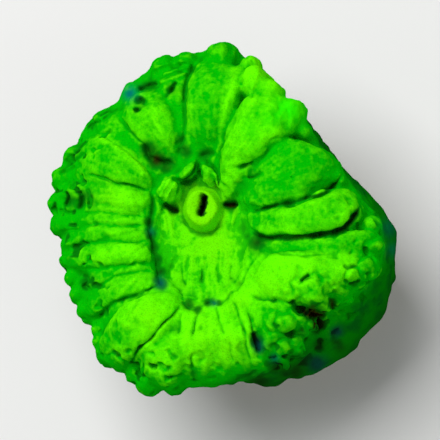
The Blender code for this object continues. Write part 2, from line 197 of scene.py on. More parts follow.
# Creases between the lobes, and the grooves and slits in them: half width in picture
# pixels, depth in millimetres and the line
CREASES = crease_rows(
    (1.7, 0.45, 119, 118, 124, 124, 131, 132, 140, 141, 146, 148),
    (2.6, 0.9, 140, 142, 146, 149, 152, 156, 162, 161, 174, 165),
    (1.9, 0.22, 94, 131, 108, 139, 120, 146, 130, 155, 140, 163, 149, 171, 157, 182),
    (1.6, 0.45, 86, 174, 93, 176, 107, 181, 119, 184, 132, 186, 148, 191),
    (2.5, 0.5, 192, 64, 187, 73, 185, 90, 184, 115, 184, 136, 180, 150, 176, 164),
    (2.4, 0.32, 247, 97, 240, 112, 232, 126, 225, 138, 221, 150, 219, 165, 219, 182),
    (2.2, 0.9, 246, 213, 260, 210, 279, 205, 293, 202, 306, 198, 317, 196, 327, 190, 335, 184, 343, 174),
    (2.6, 1.25, 248, 229, 260, 236, 279, 238, 298, 237, 317, 235, 337, 230, 346, 225, 355, 214, 361, 202),
    (1.8, 0.3, 264, 247, 272, 252, 289, 254, 308, 256, 326, 254),
    (1.4, 0.5, 184, 304, 176, 311, 166, 321, 157, 331, 147, 341, 139, 349, 132, 360, 124, 368),
    (2.0, 0.5, 160, 286, 152, 288, 137, 294, 118, 302, 104, 311, 95, 322),
    (1.8, 0.3, 153, 270, 140, 272, 126, 274, 107, 280, 93, 288),
    (1.8, 0.25, 154, 264, 140, 264, 121, 266, 100, 269, 80, 268),
    (1.8, 0.25, 150, 241, 130, 241, 105, 241, 85, 244, 66, 249),
    (1.8, 0.28, 147, 226, 130, 225, 105, 225, 82, 229, 60, 232),
    (1.8, 0.2, 147, 216, 130, 215, 110, 214, 95, 213, 80, 213),
    (3.6, 0.7, 150, 188, 152, 205, 151, 222, 151, 236, 154, 248, 156, 260, 159, 272, 161, 285),
    (2.0, 0.35, 166, 285, 175, 287, 182, 294, 186, 304, 193, 309, 200, 308, 206, 303, 211, 299, 216, 303,
     225, 300, 231, 292, 238, 287, 243, 279, 247, 270, 258, 256, 266, 248),
    (2.6, 0.6, 183, 300, 187, 305, 193, 309, 199, 308),
    (2.4, 0.6, 206, 303, 211, 300, 216, 304),
    (2.4, 0.55, 201, 270, 202, 277, 201, 284),
    (2.0, 0.3, 184, 268, 183, 278, 186, 286),
    (2.0, 0.3, 218, 266, 220, 276, 218, 284),
    (2.0, 0.3, 232, 262, 230, 272, 231, 280),
    (2.2, 0.3, 172, 262, 170, 274, 173, 282),
    (1.5, 0.2, 182, 312, 180, 322, 178, 335),
    (1.6, 0.5, 199, 307, 198, 313, 195, 324, 193, 337),
    (2.2, 0.4, 191, 352, 192, 360, 193, 370, 193, 382),
    (1.7, 0.4, 216, 305, 218, 312, 221, 325, 224, 335),
    (1.7, 0.3, 229, 340, 231, 350, 234, 362),
    (1.7, 0.35, 229, 297, 236, 305, 239, 317, 244, 330, 247, 350, 251, 364),
    (2.0, 0.5, 247, 310, 251, 322, 253, 332),
    (3.2, 1.5, 253, 329, 255, 336, 258, 343, 259, 352),
    (2.0, 0.4, 250, 296, 262, 299, 275, 300, 290, 302, 298, 307),
    (4.2, 1.6, 296, 306, 304, 311, 314, 314, 327, 315),
    (2.2, 0.9, 298, 281, 303, 276, 308, 273),
    (4.0, 0.25, 262, 163, 268, 150, 272, 141, 282, 138, 293, 137, 304, 139, 314, 144),
    (2.2, 0.7, 237, 168, 246, 167, 254, 164),
    (2.0, 0.6, 246, 177, 253, 177, 261, 172),
    (2.8, 0.9, 137, 87, 142, 84, 150, 81, 158, 82),
    (2.4, 0.7, 164, 98, 168, 91, 173, 85, 177, 79),
    (2.6, 0.6, 188, 73, 191, 68, 193, 63),
    (1.7, 0.35, 166, 70, 174, 65, 184, 62),
    (1.7, 0.35, 158, 79, 166, 74, 176, 70, 184, 70),
    (2.4, 0.35, 170, 377, 177, 374, 184, 371),
    (3.0, 0.9, 331, 296, 332, 302, 331, 310),
    (2.0, 0.6, 346, 283, 353, 282, 359, 279),
    (3.6, 0.9, 146, 151, 151, 158, 159, 163),
    (3.0, 0.5, 176, 140, 180, 146, 186, 152),
    (3.0, 0.5, 199, 155, 206, 154, 213, 156),
    (1.8, 0.6, 173, 175, 178, 179, 184, 180, 191, 175, 195, 168, 196, 158),
    (2.8, 0.5, 178, 182, 186, 184, 194, 181, 198, 176),
    (1.9, 0.4, 184, 218, 188, 226, 196, 231, 206, 233, 215, 231, 223, 225),
    (3.2, 1.2, 162, 205, 168, 208, 174, 211, 179, 211),
    (3.2, 1.2, 223, 204, 231, 205, 238, 204),
    (1.6, 0.35, 172, 205, 176, 195, 181, 184),
    (1.6, 0.5, 202, 160, 211, 166, 218, 175, 219, 188),
    (1.6, 0.5, 198, 162, 199, 172, 201, 180),
    (2.0, 0.6, 84, 127, 91, 123, 99, 119),
    (1.9, 0.5, 100, 118, 108, 112, 116, 106),
    (2.0, 0.6, 72, 153, 79, 146, 86, 139),
    (1.8, 0.45, 66, 164, 75, 158, 84, 152),
    (1.8, 0.4, 58, 173, 67, 168, 78, 166),
    (1.8, 0.4, 86, 110, 91, 119, 94, 128),
    (1.8, 0.4, 69, 133, 75, 140, 80, 148),
    (1.5, 0.25, 99, 135, 106, 133, 110, 127),
    (1.8, 0.4, 56, 211, 62, 211, 70, 213),
    (2.6, 0.6, 279, 354, 289, 356, 300, 356),
    (3.4, 0.9, 318, 318, 320, 325, 316, 333),
    (2.2, 0.7, 268, 355, 273, 358, 276, 354),
    (2.0, 0.5, 98, 316, 104, 311, 110, 306),
    (2.6, 0.9, 64, 190, 66, 198, 63, 206),
    (3.0, 1.0, 78, 188, 80, 199, 78, 210),
    (2.2, 0.5, 86, 186, 89, 197, 88, 207),
    (2.8, 0.8, 79, 274, 85, 279, 82, 287, 90, 292),
    (1.8, 0.25, 79, 266, 86, 263, 94, 262),
    (2.2, 0.7, 138, 95, 143, 99, 142, 105),
    (1.9, 0.5, 132, 107, 135, 108, 139, 110),
)

# Thin raised folds, half width in picture pixels and height in millimetres
FOLDS = crease_rows(
    (1.1, 0.16, 154, 198, 161, 185, 169, 173),
    (1.0, 0.16, 159, 199, 165, 188, 173, 176),
    (1.0, 0.16, 164, 203, 170, 192, 177, 180),
    (1.0, 0.1, 178, 177, 186, 173, 193, 162),
    (1.6, 0.22, 158, 206, 166, 211, 170, 220, 172, 230, 170, 240),
    (1.3, 0.16, 163, 214, 166, 224, 167, 236),
    (1.6, 0.25, 238, 205, 235, 215, 233, 227),
    (1.4, 0.18, 147, 80, 160, 73, 176, 68, 189, 65),
    (1.4, 0.16, 152, 87, 164, 79, 178, 74, 188, 72),
    (1.4, 0.16, 145, 72, 158, 64, 174, 60, 188, 58),
    (1.6, 0.2, 101, 326, 96, 335, 98, 346),
    (2.2, 0.25, 199, 287, 200, 296, 199, 302),
    (2.2, 0.25, 216, 279, 219, 288, 218, 296),
)

# Pits, with their depth as a negative height in millimetres
PITS = spot_rows(
    (138, 98, 3.5, -0.8), (136, 109, 2.6, -0.6), (128, 350, 3.0, -0.3), (105, 238, 4.5, -0.2),
    (154, 367, 2.8, -0.4), (292, 300, 3.2, -0.5), (274, 300, 2.2, -0.3), (160, 282, 3.0, -0.3),
    (202, 326, 3.0, -0.2), (148, 83, 3.5, -0.4), (172, 88, 3.5, -0.35),
)

# Soft uneven knobs with a groove about them: picture radius, and height in millimetres
KNOBS = spot_rows(
    (309, 289, 17, 0.35), (339, 292, 9, 0.25), (352, 275, 8, 0.25), (286, 323, 10, 0.35),
    (285, 346, 9, 0.3), (298, 340, 7, 0.25), (311, 323, 5, 0.3), (373, 247, 8, 0.25),
    (263, 359, 10, 0.15), (272, 321, 9, 0.2), (291, 112, 15, 0.12), (365, 264, 8, 0.25),
    (102, 345, 11, 0.12), (137, 371, 11, 0.12),
)

# Painted shade: spots where the flesh is darkened for the shade in hollows, pockets and on the shaded wall,
# whatever its form: picture radius and strength
SHADOWS = spot_rows(
    (89, 123, 7, 0.3), (75, 149, 7, 0.3), (107, 109, 7, 0.25), (61, 170, 6, 0.25), (138, 98, 4, 0.7),
    (136, 109, 3, 0.6), (144, 84, 7, 0.5), (148, 149, 9, 0.65), (157, 160, 9, 0.8), (165, 167, 7, 0.65),
    (180, 139, 7, 0.4), (185, 152, 8, 0.5), (257, 243, 9, 0.7), (247, 236, 6, 0.35), (189, 304, 6, 0.65),
    (198, 309, 5, 0.6), (208, 302, 4.5, 0.7), (219, 302, 4, 0.6), (240, 284, 5, 0.3), (337, 331, 6, 0.8),
    (319, 345, 7, 0.7), (317, 364, 9, 0.9), (340, 348, 9, 0.5), (275, 366, 9, 0.7), (296, 372, 12, 0.7),
    (260, 382, 12, 0.7), (235, 388, 12, 0.6), (300, 356, 8, 0.5), (156, 156, 8, 0.5), (168, 162, 9, 0.5),
    (182, 147, 7, 0.4), (205, 154, 9, 0.45), (173, 209, 7, 0.6), (188, 182, 8, 0.45), (231, 205, 8, 0.5),
    (258, 247, 13, 0.3), (251, 171, 7, 0.3), (242, 184, 12, 0.25), (158, 280, 8, 0.5),
    (150, 230, 8, 0.25), (189, 305, 6, 0.45), (212, 301, 6, 0.4), (256, 338, 7, 0.7), (260, 348, 6, 0.6),
    (315, 314, 11, 0.55), (300, 308, 7, 0.4), (317, 325, 9, 0.5), (331, 303, 6, 0.55), (292, 356, 9, 0.4),
    (274, 357, 5, 0.5), (150, 83, 9, 0.4), (171, 88, 8, 0.35), (191, 68, 5, 0.4), (303, 277, 5, 0.35),
    (92, 203, 8, 0.25), (89, 279, 9, 0.3), (108, 237, 10, 0.15), (340, 330, 11, 0.4), (323, 343, 9, 0.35),
    (320, 365, 14, 0.4), (70, 201, 10, 0.4), (139, 101, 7, 0.35), (193, 372, 6, 0.35), (62, 233, 7, 0.25),
    (80, 282, 9, 0.2), (68, 262, 8, 0.2), (286, 336, 12, 0.3), (300, 332, 10, 0.35), (270, 345, 10, 0.25),
    (168, 258, 14, 0.12), (285, 372, 13, 0.55), (252, 379, 13, 0.5), (303, 366, 12, 0.5),
    (85, 196, 9, 0.4), (149, 222, 6, 0.65), (150, 235, 6, 0.65), (154, 248, 5.5, 0.6),
    (157, 260, 5.5, 0.6), (160, 272, 6, 0.7), (161, 283, 7, 0.75), (193, 307, 5, 0.3), (256, 340, 6, 0.9),
    (310, 311, 8, 0.9), (316, 330, 6, 0.5), (84, 283, 7, 0.5), (352, 283, 5, 0.35),
)

# Brown tint laid on the painted shade of the darkest pockets
BROWN_POCKETS = spot_rows(
    (188, 182, 9, 0.8), (231, 205, 9, 1.0), (313, 314, 12, 1.0), (156, 156, 7, 0.8), (300, 237, 8, 0.6),
    (331, 303, 6, 0.9), (174, 209, 5, 0.5), (186, 148, 4, 0.5),
)

# Blue patches
BLUES = spot_rows(
    (129, 91, 6.5, 1.0), (151, 232, 4, 0.3), (161, 283, 5, 0.5), (214, 303, 3, 0.6), (258, 344, 5, 0.5),
    (391, 228, 8, 0.3), (394, 250, 7, 0.3), (274, 357, 4, 0.5), (318, 364, 8, 0.25), (337, 331, 5, 0.25),
)

# Yellower patches of the disc and the lobes next to it
YELLOWS = spot_rows(
    (213, 243, 21, 0.55), (236, 302, 14, 0.4), (200, 332, 20, 0.4), (150, 316, 16, 0.4),
    (108, 196, 16, 0.35), (264, 288, 14, 0.35), (228, 345, 14, 0.35), (272, 242, 7, 0.3),
)

# Pure green without yellow, at the back right
FRESH = spot_rows(
    (290, 110, 17, 0.85), (272, 118, 13, 0.4), (250, 128, 12, 0.2),
)

# Ridges and bands of brighter flesh, or with a minus of deeper, partly the flesh's own tone and partly
# painted highlight on lit ridges and margins and painted shade on shaded flanks and under the rim: half
# width in picture pixels, strength and the line
TONE_AND_LIGHT_BANDS = crease_rows(
    (4.0, 0.45, 193, 66, 188, 80, 187, 110, 189, 140),
    (6.0, 0.3, 248, 100, 239, 120, 231, 140, 227, 160, 226, 185),
    (4.0, 0.5, 98, 136, 115, 144, 130, 154, 142, 166, 150, 177),
    (6.0, 0.35, 148, 104, 154, 120, 164, 140),
    (1.8, 0.6, 180, 313, 169, 323, 159, 334, 149, 344, 137, 358),
    (1.6, 0.4, 268, 243, 300, 240, 335, 237),
    (4.0, 0.3, 100, 187, 125, 196, 146, 205),
    (5.0, 0.15, 95, 252, 145, 252),
    (2.2, 0.45, 237, 72, 230, 92, 223, 118, 218, 140),
    (3.0, 0.5, 150, 73, 160, 70, 172, 71),
    (2.5, 0.4, 245, 288, 246, 278, 254, 266, 266, 252),
    (5.0, 0.4, 335, 237, 350, 234, 366, 230),
    (5.0, 0.25, 135, 316, 155, 302, 175, 292),
    (12.0, 0.3, 196, 240, 214, 243, 234, 240),
    (1.2, 0.4, 154, 198, 161, 185, 169, 173),
    (7.0, -0.3, 158, 202, 166, 190, 176, 176),
    (7.0, -0.25, 203, 165, 208, 174, 213, 184),
    (1.5, 0.4, 158, 205, 166, 211, 171, 222, 172, 236),
    (6.0, -0.6, 151, 200, 151, 220, 154, 240, 158, 262, 162, 284),
    (11.0, -0.45, 166, 232, 165, 250, 172, 266),
    (4.0, -0.45, 184, 262, 184, 285),
    (3.0, -0.5, 201, 262, 201, 290),
    (3.0, -0.45, 219, 262, 220, 284),
    (8.0, -0.35, 232, 232, 244, 246, 240, 262),
    (13.0, -1.0, 266, 346, 276, 332, 290, 324, 304, 334),
    (11.0, -0.8, 266, 356, 282, 352, 296, 348, 304, 338),
    (9.0, -0.9, 371, 236, 366, 262, 353, 279, 338, 294),
    (14.0, -0.7, 296, 294, 308, 290, 324, 290),
    (8.0, -0.7, 140, 386, 190, 385, 222, 380, 255, 370),
    (7.0, -0.3, 45, 200, 52, 235, 66, 272),
    (10.0, 0.5, 190, 318, 194, 345, 197, 368),
    (12.0, 0.4, 216, 312, 222, 340, 230, 366),
    (13.0, 0.4, 240, 300, 258, 282, 286, 268, 320, 264),
    (10.0, 0.25, 170, 300, 148, 315, 124, 334),
    (12.0, 0.25, 206, 236, 222, 246),
    (9.0, -0.3, 62, 188, 70, 204, 60, 222),
    (9.0, -0.3, 76, 262, 84, 280, 92, 300),
    (8.0, -0.25, 100, 330, 108, 352, 130, 372),
)

# The mouth: a low cone, seen from above as an oval, with a slit in its top
MOUTH = Spot(203, 208, 21, 1.4)
MOUTH_STRETCH = 1.12
LIP_RADIUS = 15.0
LIP_DISH = 0.3
LIP_EDGE = 28
SLIT = Crease(((201.5, 214), (204, 206), (205.5, 197)), 2.3, 1.6)

# Picture distances from the mouth between which the disc fades out and sets in
DISC_RIM = (85, 60)
DISC_HEART = (18, 34)

# Half the columns and rows of the oval that the disc's colour covers, and its middle row
DISC_REACH = (46, 62)
DISC_ROW = 238

# Grain of the flesh: size and height in millimetres, and which noise it is
LUMPS = Grain(1.3, 0.04, 11)
SMALL_LUMPS = Grain(0.6, 0.03, 12)
FINE_GRAIN = Grain(0.36, 0.022, 20)
DISC_GRAIN = Grain(0.55, 0.07, 19)
WALL_LUMPS = Grain(1.8, 0.16, 18)

# The slow wander of the whole flesh in the same form, with one noise more for each way in space
WANDERS = (Grain(2.2, 0.1, 21), Grain(0.9, 0.02, 31))

# Shades of the flesh in the same form, the height being the change of tone
BLOTCHES = Grain(1.0, 0.1, 52)
SPECKLE = Grain(0.42, 0.08, 53)

# Heights, in metres, between which the wall gives way to the rim
WALL_TOP = (11 * MM, 15 * MM)


def unit_bearing(bearing):
    return Vector((math.cos(bearing), math.sin(bearing)))


LEAN_WAY = unit_bearing(LEAN_BEARING)
LEAN_SIDE = Vector((-LEAN_WAY.y, LEAN_WAY.x))
PICTURE_AXIS = Vector((*(LEAN_WAY * math.sin(LEAN)), math.cos(LEAN)))
PICTURE_WAY = Vector((*(LEAN_WAY * math.cos(LEAN)), -math.sin(LEAN)))
PICTURE_SIDE = Vector((*LEAN_SIDE, 0.0))


def place(column, row, height):
    """The point, in metres, at this height in millimetres that the picture shows at this pixel."""
    across = Vector((column - AXIS_COLUMN, AXIS_ROW - row)) * PIXEL
    above = (height - CREST_HEIGHT) * MM
    along = (across.dot(LEAN_WAY) + above * math.sin(LEAN)) / math.cos(LEAN)
    flat = along * LEAN_WAY + across.dot(LEAN_SIDE) * LEAN_SIDE
    return Vector((flat.x, flat.y, height * MM))


def picture_spots(points):
    """The column and row at which the picture shows each of these points."""
    way = points[:, 0] * LEAN_WAY.x + points[:, 1] * LEAN_WAY.y
    side = points[:, 0] * LEAN_SIDE.x + points[:, 1] * LEAN_SIDE.y
    above = points[:, 2] - CREST_HEIGHT * MM
    along = way * math.cos(LEAN) - above * math.sin(LEAN)
    across_x = along * LEAN_WAY.x + side * LEAN_SIDE.x
    across_y = along * LEAN_WAY.y + side * LEAN_SIDE.y
    return np.stack([AXIS_COLUMN + across_x / PIXEL, AXIS_ROW - across_y / PIXEL], axis=1)


def between(values, share):
    """A smooth value at this share, 0 to 1, along evenly spaced numbers or vectors."""
    spans = len(values) - 1
    at = min(max(share, 0.0), 1.0) * spans
    i = min(int(at), spans - 1)
    t = at - i
    p1, p2 = values[i], values[i + 1]
    p0 = values[i - 1] if i > 0 else 2 * p1 - p2
    p3 = values[i + 2] if i + 2 <= spans else 2 * p2 - p1
    bend = 2 * p0 - 5 * p1 + 4 * p2 - p3
    twist = 3 * (p1 - p2) + p3 - p0
    return p1 + 0.5 * t * ((p2 - p0) + t * (bend + t * twist))


def smooth_step(low, high, values):
    """From 0 at the low value to 1 at the high one, easing in and out."""
    share = np.clip((values - low) / (high - low), 0, 1)
    return share * share * (3 - 2 * share)


def spot_distance(spots, spot):
    """How many picture pixels each place is away from this spot."""
    return np.hypot(spots[:, 0] - spot.column, spots[:, 1] - spot.row)


def lip_distance(spots):
    """The distance from the mouth along its oval, as its lip and its cone have it."""
    return np.hypot(spots[:, 0] - MOUTH.column, (spots[:, 1] - MOUTH.row) / MOUTH_STRETCH)


def disc_share(out):
    """How much a place at this distance from the mouth belongs to the disc."""
    return smooth_step(*DISC_RIM, out) * smooth_step(*DISC_HEART, out)


def flat_points(spots, column_size=1, row_size=1):
    """The picture's columns and rows as points for noise, with features drawn out by these sizes."""
    return np.stack([spots[:, 0] / column_size, spots[:, 1] / row_size, np.zeros(len(spots))], axis=1)


# Outlines and forms of the coral


def wall_outline(bearing):
    count = len(WALL_OUTLINE)
    turn = (bearing / math.tau) % 1.0 * count
    first = int(turn)
    near = [WALL_OUTLINE[(first + step) % count] for step in (-1, 0, 1, 2)]
    return unit_bearing(bearing) * between(near, (1 + turn - first) / 3) * MM


def rim_outline(bearing):
    aim = unit_bearing(bearing)
    points = [place(*spot, RIM_HEIGHT).to_2d() for spot in RIM_OUTLINE]
    for first, second in zip(points, points[1:] + points[:1]):
        before, after = aim.cross(first), aim.cross(second)
        if before >= 0 > after and aim.dot(first) > 0:
            return first.lerp(second, before / (before - after))
    raise ValueError("the rim has a gap")


def basin_outline(bearing):
    column = BASIN_COLUMN + BASIN_HALF_COLUMNS * math.cos(bearing)
    row = BASIN_ROW - BASIN_HALF_ROWS * math.sin(bearing)
    return place(column, row, BASIN_HEIGHT).to_2d()


def add_body(form):
    """Stalk, wall, rim and basin: a sphere whose rows are drawn out to the outlines."""
    made = bmesh.ops.create_uvsphere(form, u_segments=180, v_segments=110, radius=1.0)
    rows = [Vector(row) for row in BODY_ROWS]
    middle = place(BASIN_COLUMN, BASIN_ROW, BASIN_HEIGHT).to_2d()
    rings = {}
    for vertex in made["verts"]:
        up = math.acos(max(-1.0, min(1.0, -vertex.co.z))) / math.pi
        bearing = math.atan2(vertex.co.y, vertex.co.x)
        key = round(bearing, 4)
        if key not in rings:
            rings[key] = (
                Vector((0, 0)),
                unit_bearing(bearing) * STALK_RADIUS * MM,
                wall_outline(bearing),
                rim_outline(bearing),
                basin_outline(bearing),
                middle,
            )
        level, height = between(rows, up)
        lower = min(max(int(level), 0), 4)
        flat = rings[key][lower].lerp(rings[key][lower + 1], level - lower)
        vertex.co = Vector((flat.x, flat.y, height * MM))


def add_lobe(form, lobe, fullness):
    """One lobe: a sphere drawn out along its spine, blunt at both ends and squarish across."""
    bluntness, squareness, depth_limit = 3.4, 0.7, 1.7 * MM
    crests = [place(*spot) for spot in lobe.spine]
    widths = [width * fullness * MM for width in lobe.half_widths]
    depths = [min(depth_limit, 2.2 * width) for width in widths]
    made = bmesh.ops.create_uvsphere(form, u_segments=28, v_segments=26, radius=1.0)
    for vertex in made["verts"]:
        share = (vertex.co.z + 1) / 2
        taper = (1 - min(1.0, abs(vertex.co.z)) ** bluntness) ** (1 / bluntness)
        turn = math.atan2(vertex.co.y, vertex.co.x)
        forward = between(crests, share + 0.02) - between(crests, share - 0.02)
        sideways = Vector((-forward.y, forward.x, 0)).normalized()
        sunk = Vector((0, 0, between(depths, share)))
        across = math.copysign(abs(math.cos(turn)) ** squareness, math.cos(turn))
        upward = math.copysign(abs(math.sin(turn)) ** squareness, math.sin(turn))
        offset = sideways * across * between(widths, share) + sunk * upward
        vertex.co = between(crests, share) - sunk + offset * taper


def add_bump(form, bump):
    """One swelling, deeper than it is wide so that it is rooted in the body."""
    depth = 1.6
    radius = bump.radius * MM
    top = place(bump.column, bump.row, bump.height)
    middle = Matrix.Translation(top - Vector((0, 0, depth * radius)))
    shape = Matrix.Diagonal((1.0, 1.0, depth, 1.0))
    bmesh.ops.create_icosphere(form, subdivisions=3, radius=radius, matrix=middle @ shape)


def put_object(name, data):
    made = bpy.data.objects.new(name, data)
    bpy.context.scene.collection.objects.link(made)
    return made


def modified(mesh, kind, **values):
    """What one modifier makes of the mesh, which it takes the place of."""
    helper = put_object("coral draft", mesh)
    modifier = helper.modifiers.new("draft", kind)
    for name, value in values.items():
        setattr(modifier, name, value)
    graph = bpy.context.evaluated_depsgraph_get()
    changed = bpy.data.meshes.new_from_object(helper.evaluated_get(graph))
    bpy.data.objects.remove(helper)
    bpy.data.meshes.remove(mesh)
    return changed


def one_skin(form, voxel):
    """A mesh of one closed skin round everything in the form, without the voids inside."""
    raw = bpy.data.meshes.new("raw coral")
    form.to_mesh(raw)
    form.free()
    return modified(raw, "REMESH", mode="VOXEL", voxel_size=voxel)


def edited(mesh, change):
    """Change the mesh with a function that works on its form."""
    form = bmesh.new()
    form.from_mesh(mesh)
    change(form)
    form.to_mesh(mesh)
    form.free()


# Vertex work in whole arrays


def read_skin(mesh):
    points = np.empty(len(mesh.vertices) * 3, np.float32)
    mesh.vertices.foreach_get("co", points)
    normals = np.empty(len(mesh.vertices) * 3, np.float32)
    mesh.vertex_normals.foreach_get("vector", normals)
    return points.reshape(-1, 3).astype(float), normals.reshape(-1, 3).astype(float)


def write_skin(mesh, points):
    mesh.vertices.foreach_set("co", points.astype(np.float32).ravel())
    mesh.update()


def edge_pairs(mesh):
    """The two vertices of each edge."""
    pairs = np.empty(len(mesh.edges) * 2, np.int32)
    mesh.edges.foreach_get("vertices", pairs)
    return pairs.reshape(-1, 2)


def blurred(values, pairs, rounds):
    """The values averaged with their neighbours' this many times."""
    ends = np.concatenate([pairs[:, 0], pairs[:, 1]])
    others = np.concatenate([pairs[:, 1], pairs[:, 0]])
    count = len(values)
    links = np.maximum(np.bincount(ends, minlength=count), 1)
    columns = values.reshape(count, -1)
    for _ in range(rounds):
        near = [np.bincount(ends, column[others], count) / links for column in columns.T]
        columns = (columns + np.stack(near, axis=1)) / 2
    return columns.reshape(values.shape)


def line_distance(spots, line):
    """Each spot's distance to a line, how far along it the nearest place is, and the way there."""
    best = np.full(len(spots), np.inf)
    along = np.zeros(len(spots))
    toward = np.zeros((len(spots), 2))
    points = [Vector(point) for point in line]
    steps = 3 * (len(points) - 1)
    smooth = [np.array(between(points, i / steps)) for i in range(steps + 1)]
    for i in range(steps):
        span = smooth[i + 1] - smooth[i]
        share = np.clip((spots - smooth[i]) @ span / max(span @ span, 1e-9), 0, 1)
        way = smooth[i] + share[:, None] * span - spots
        distance = np.hypot(way[:, 0], way[:, 1])
        nearer = distance < best
        best[nearer] = distance[nearer]
        along[nearer] = (i + share[nearer]) / steps
        toward[nearer] = way[nearer]
    return best, along, toward


def near_line(spots, line, margin):
    """Which spots lie in the line's box with this margin round it."""
    low = np.min(line, axis=0) - margin
    high = np.max(line, axis=0) + margin
    return np.nonzero(((spots > low) & (spots < high)).all(axis=1))[0]


def hashed(cells, seed):
    """A steady random number from 0 to 1 for each whole-numbered cell."""
    mixed = cells[:, 0] * 73856093 ^ cells[:, 1] * 19349663 ^ cells[:, 2] * 83492791 ^ seed * 2654435761
    mixed = (mixed ^ (mixed >> 13)) * 1274126177 & 0x7FFFFFFF
    mixed = (mixed ^ (mixed >> 16)) & 0xFFFFFF
    return mixed / 0xFFFFFF


def cloud(points, size, seed):
    """Smooth noise from about -1 to 1 with features of this size, on a lattice turned out of the way."""
    at = (points / size) @ np.array(Euler((0.7, 0.4, 1.1)).to_matrix())
    cell = np.floor(at).astype(np.int64)
    part = at - cell
    ease = part ** 3 * (part * (part * 6 - 15) + 10)
    total = np.zeros(len(points))
    for corner in np.ndindex(2, 2, 2):
        step = np.array(corner)
        slope = np.stack([hashed(cell + step, seed + 101 * i) for i in range(3)], axis=1) * 2 - 1
        weight = np.prod(np.where(step == 1, ease, 1 - ease), axis=1)
        total += weight * ((part - step) * slope).sum(axis=1)
    return np.clip(total * 2.4, -1, 1)


def grained(points, grain):
    """The height of one kind of grain at each point, in millimetres."""
    return cloud(points, grain.size * MM, grain.seed) * grain.height


# The skin of the head

# Faint ribs round the bare stalk, two to each of the septa
RIBS = 48


def whole_form(settings):
    """Body, lobes, folds and lumps, all of them rooted in one another."""
    form = bmesh.new()
    add_body(form)
    for lobe in LOBES:
        add_lobe(form, lobe, settings.lobe_fullness)
    for curl in CURLS:
        add_lobe(form, curl, 1.0)
    for bump in BUMPS:
        add_bump(form, bump)
    return form


def wandering(spots):
    """The spots moved a little in the picture, so that no crease runs dead straight."""
    flat = flat_points(spots)
    wide = np.stack([cloud(flat, 14, 41), cloud(flat, 14, 42)], axis=1)
    close = np.stack([cloud(flat, 5, 43), cloud(flat, 5, 44)], axis=1)
    return spots + 0.9 * wide + 0.3 * close


def line_profile(spots, line):
    """Which spots a line reaches, how strongly from 0 to 1, and the way from each to the line."""
    reach_widths, end_share, end_strength = 3.5, 0.16, 0.2
    reach = near_line(spots, line.line, reach_widths * line.width)
    distance, along, way = line_distance(spots[reach], line.line)
    ends = smooth_step(0, end_share, along) * smooth_step(0, end_share, 1 - along)
    strength = np.exp(-((distance / line.width) ** 1.5)) * (end_strength + (1 - end_strength) * ends)
    return reach, strength, way


def knob_distances(spots):
    """Each knob with how far the spots are from its middle, 1 being its uneven outline."""
    outline = 1 + 0.25 * cloud(flat_points(spots), 9, 46)
    for knob in KNOBS:
        yield knob, spot_distance(spots, knob) / knob.radius * outline


def carved_depth(spots):
    """How deep the creases, slit, pits and grooves go at each spot, in millimetres, and the pinch."""
    pinch_share, groove_at, groove_width, groove_depth = 0.3, 1.1, 0.2, 0.6
    distance, _, _ = line_distance(spots, SLIT.line)
    depth = SLIT.depth * smooth_step(1.35, 0.75, distance / SLIT.width)
    pinch = np.zeros((len(spots), 2))
    spots = wandering(spots)
    swing = 0.95 + 0.3 * cloud(flat_points(spots), 11, 45)
    for crease in CREASES:
        reach, profile, way = line_profile(spots, crease)
        depth[reach] = np.maximum(depth[reach], profile * crease.depth * swing[reach])
        pinch[reach] += way * (profile ** 0.5 * pinch_share)[:, None]
    for pit in PITS:
        depth -= pit.height * np.exp(-((spot_distance(spots, pit) / pit.radius) ** 2.4))
    for knob, distance in knob_distances(spots):
        groove = np.exp(-(((distance - groove_at) / groove_width) ** 2))
        depth = np.maximum(depth, knob.height * groove_depth * groove * swing)
    return depth, pinch


def raised_height(spots):
    """How high the mouth, the thin folds and the knobs stand at each spot, in millimetres."""
    height = np.zeros(len(spots))
    for fold in FOLDS:
        reach, profile, _ = line_profile(spots, fold)
        height[reach] = np.maximum(height[reach], profile * fold.depth)
    for knob, distance in knob_distances(spots):
        height += knob.height * smooth_step(1.1, 0.4, distance)
    out = lip_distance(spots)
    height += MOUTH.height * smooth_step(MOUTH.radius, LIP_RADIUS, out)
    return height - LIP_DISH * smooth_step(LIP_RADIUS, 0, out)


def picture_shift(moves):
    """The way in space, in metres, that goes with each move in the picture."""
    across = np.stack([moves[:, 0], -moves[:, 1]], axis=1) * PIXEL
    way = across @ np.array(LEAN_WAY)
    side = across @ np.array(LEAN_SIDE)
    return way[:, None] * np.array(PICTURE_WAY) + side[:, None] * np.array(PICTURE_SIDE)


def facing_camera(normals):
    """0 for skin turned away from the picture, 1 for skin that it sees."""
    return smooth_step(-0.3, 0.2, normals @ np.array(PICTURE_AXIS))


def sculpt(mesh, settings):
    """Soften the joins, sink the creases, raise mouth, folds and knobs, and lay on the grain."""
    soft_rounds, rim_rounds, gap_depth = 4, 12, 0.3
    toward_picture, outward = 0.65, 0.35
    points, normals = read_skin(mesh)
    pairs = edge_pairs(mesh)
    points = blurred(points, pairs, soft_rounds)
    outer = smooth_step(75, 125, spot_distance(picture_spots(points), MOUTH))[:, None]
    points += (blurred(points, pairs, rim_rounds) - points) * outer
    spots = picture_spots(points)
    seen = smooth_step(12.5 * MM, 14.5 * MM, points[:, 2]) * facing_camera(normals)
    depth, pinch = carved_depth(spots)
    cut = (raised_height(spots) - depth * settings.crease_depth) * seen * MM
    points += cut[:, None] * (toward_picture * np.array(PICTURE_AXIS) + outward * normals)
    points += picture_shift(pinch) * (seen * settings.crease_depth)[:, None]
    points -= normals * (rim_gaps(points, spots) * seen * gap_depth * MM)[:, None]
    write_skin(mesh, blurred(points, pairs, 1))
    points, normals = read_skin(mesh)
    points += surface_grain(points, spots, normals)[:, None] * normals * settings.grain_depth
    above = smooth_step(*WALL_TOP, points[:, 2])
    points += uneven(points) * (above * settings.grain_depth)[:, None]
    write_skin(mesh, points)


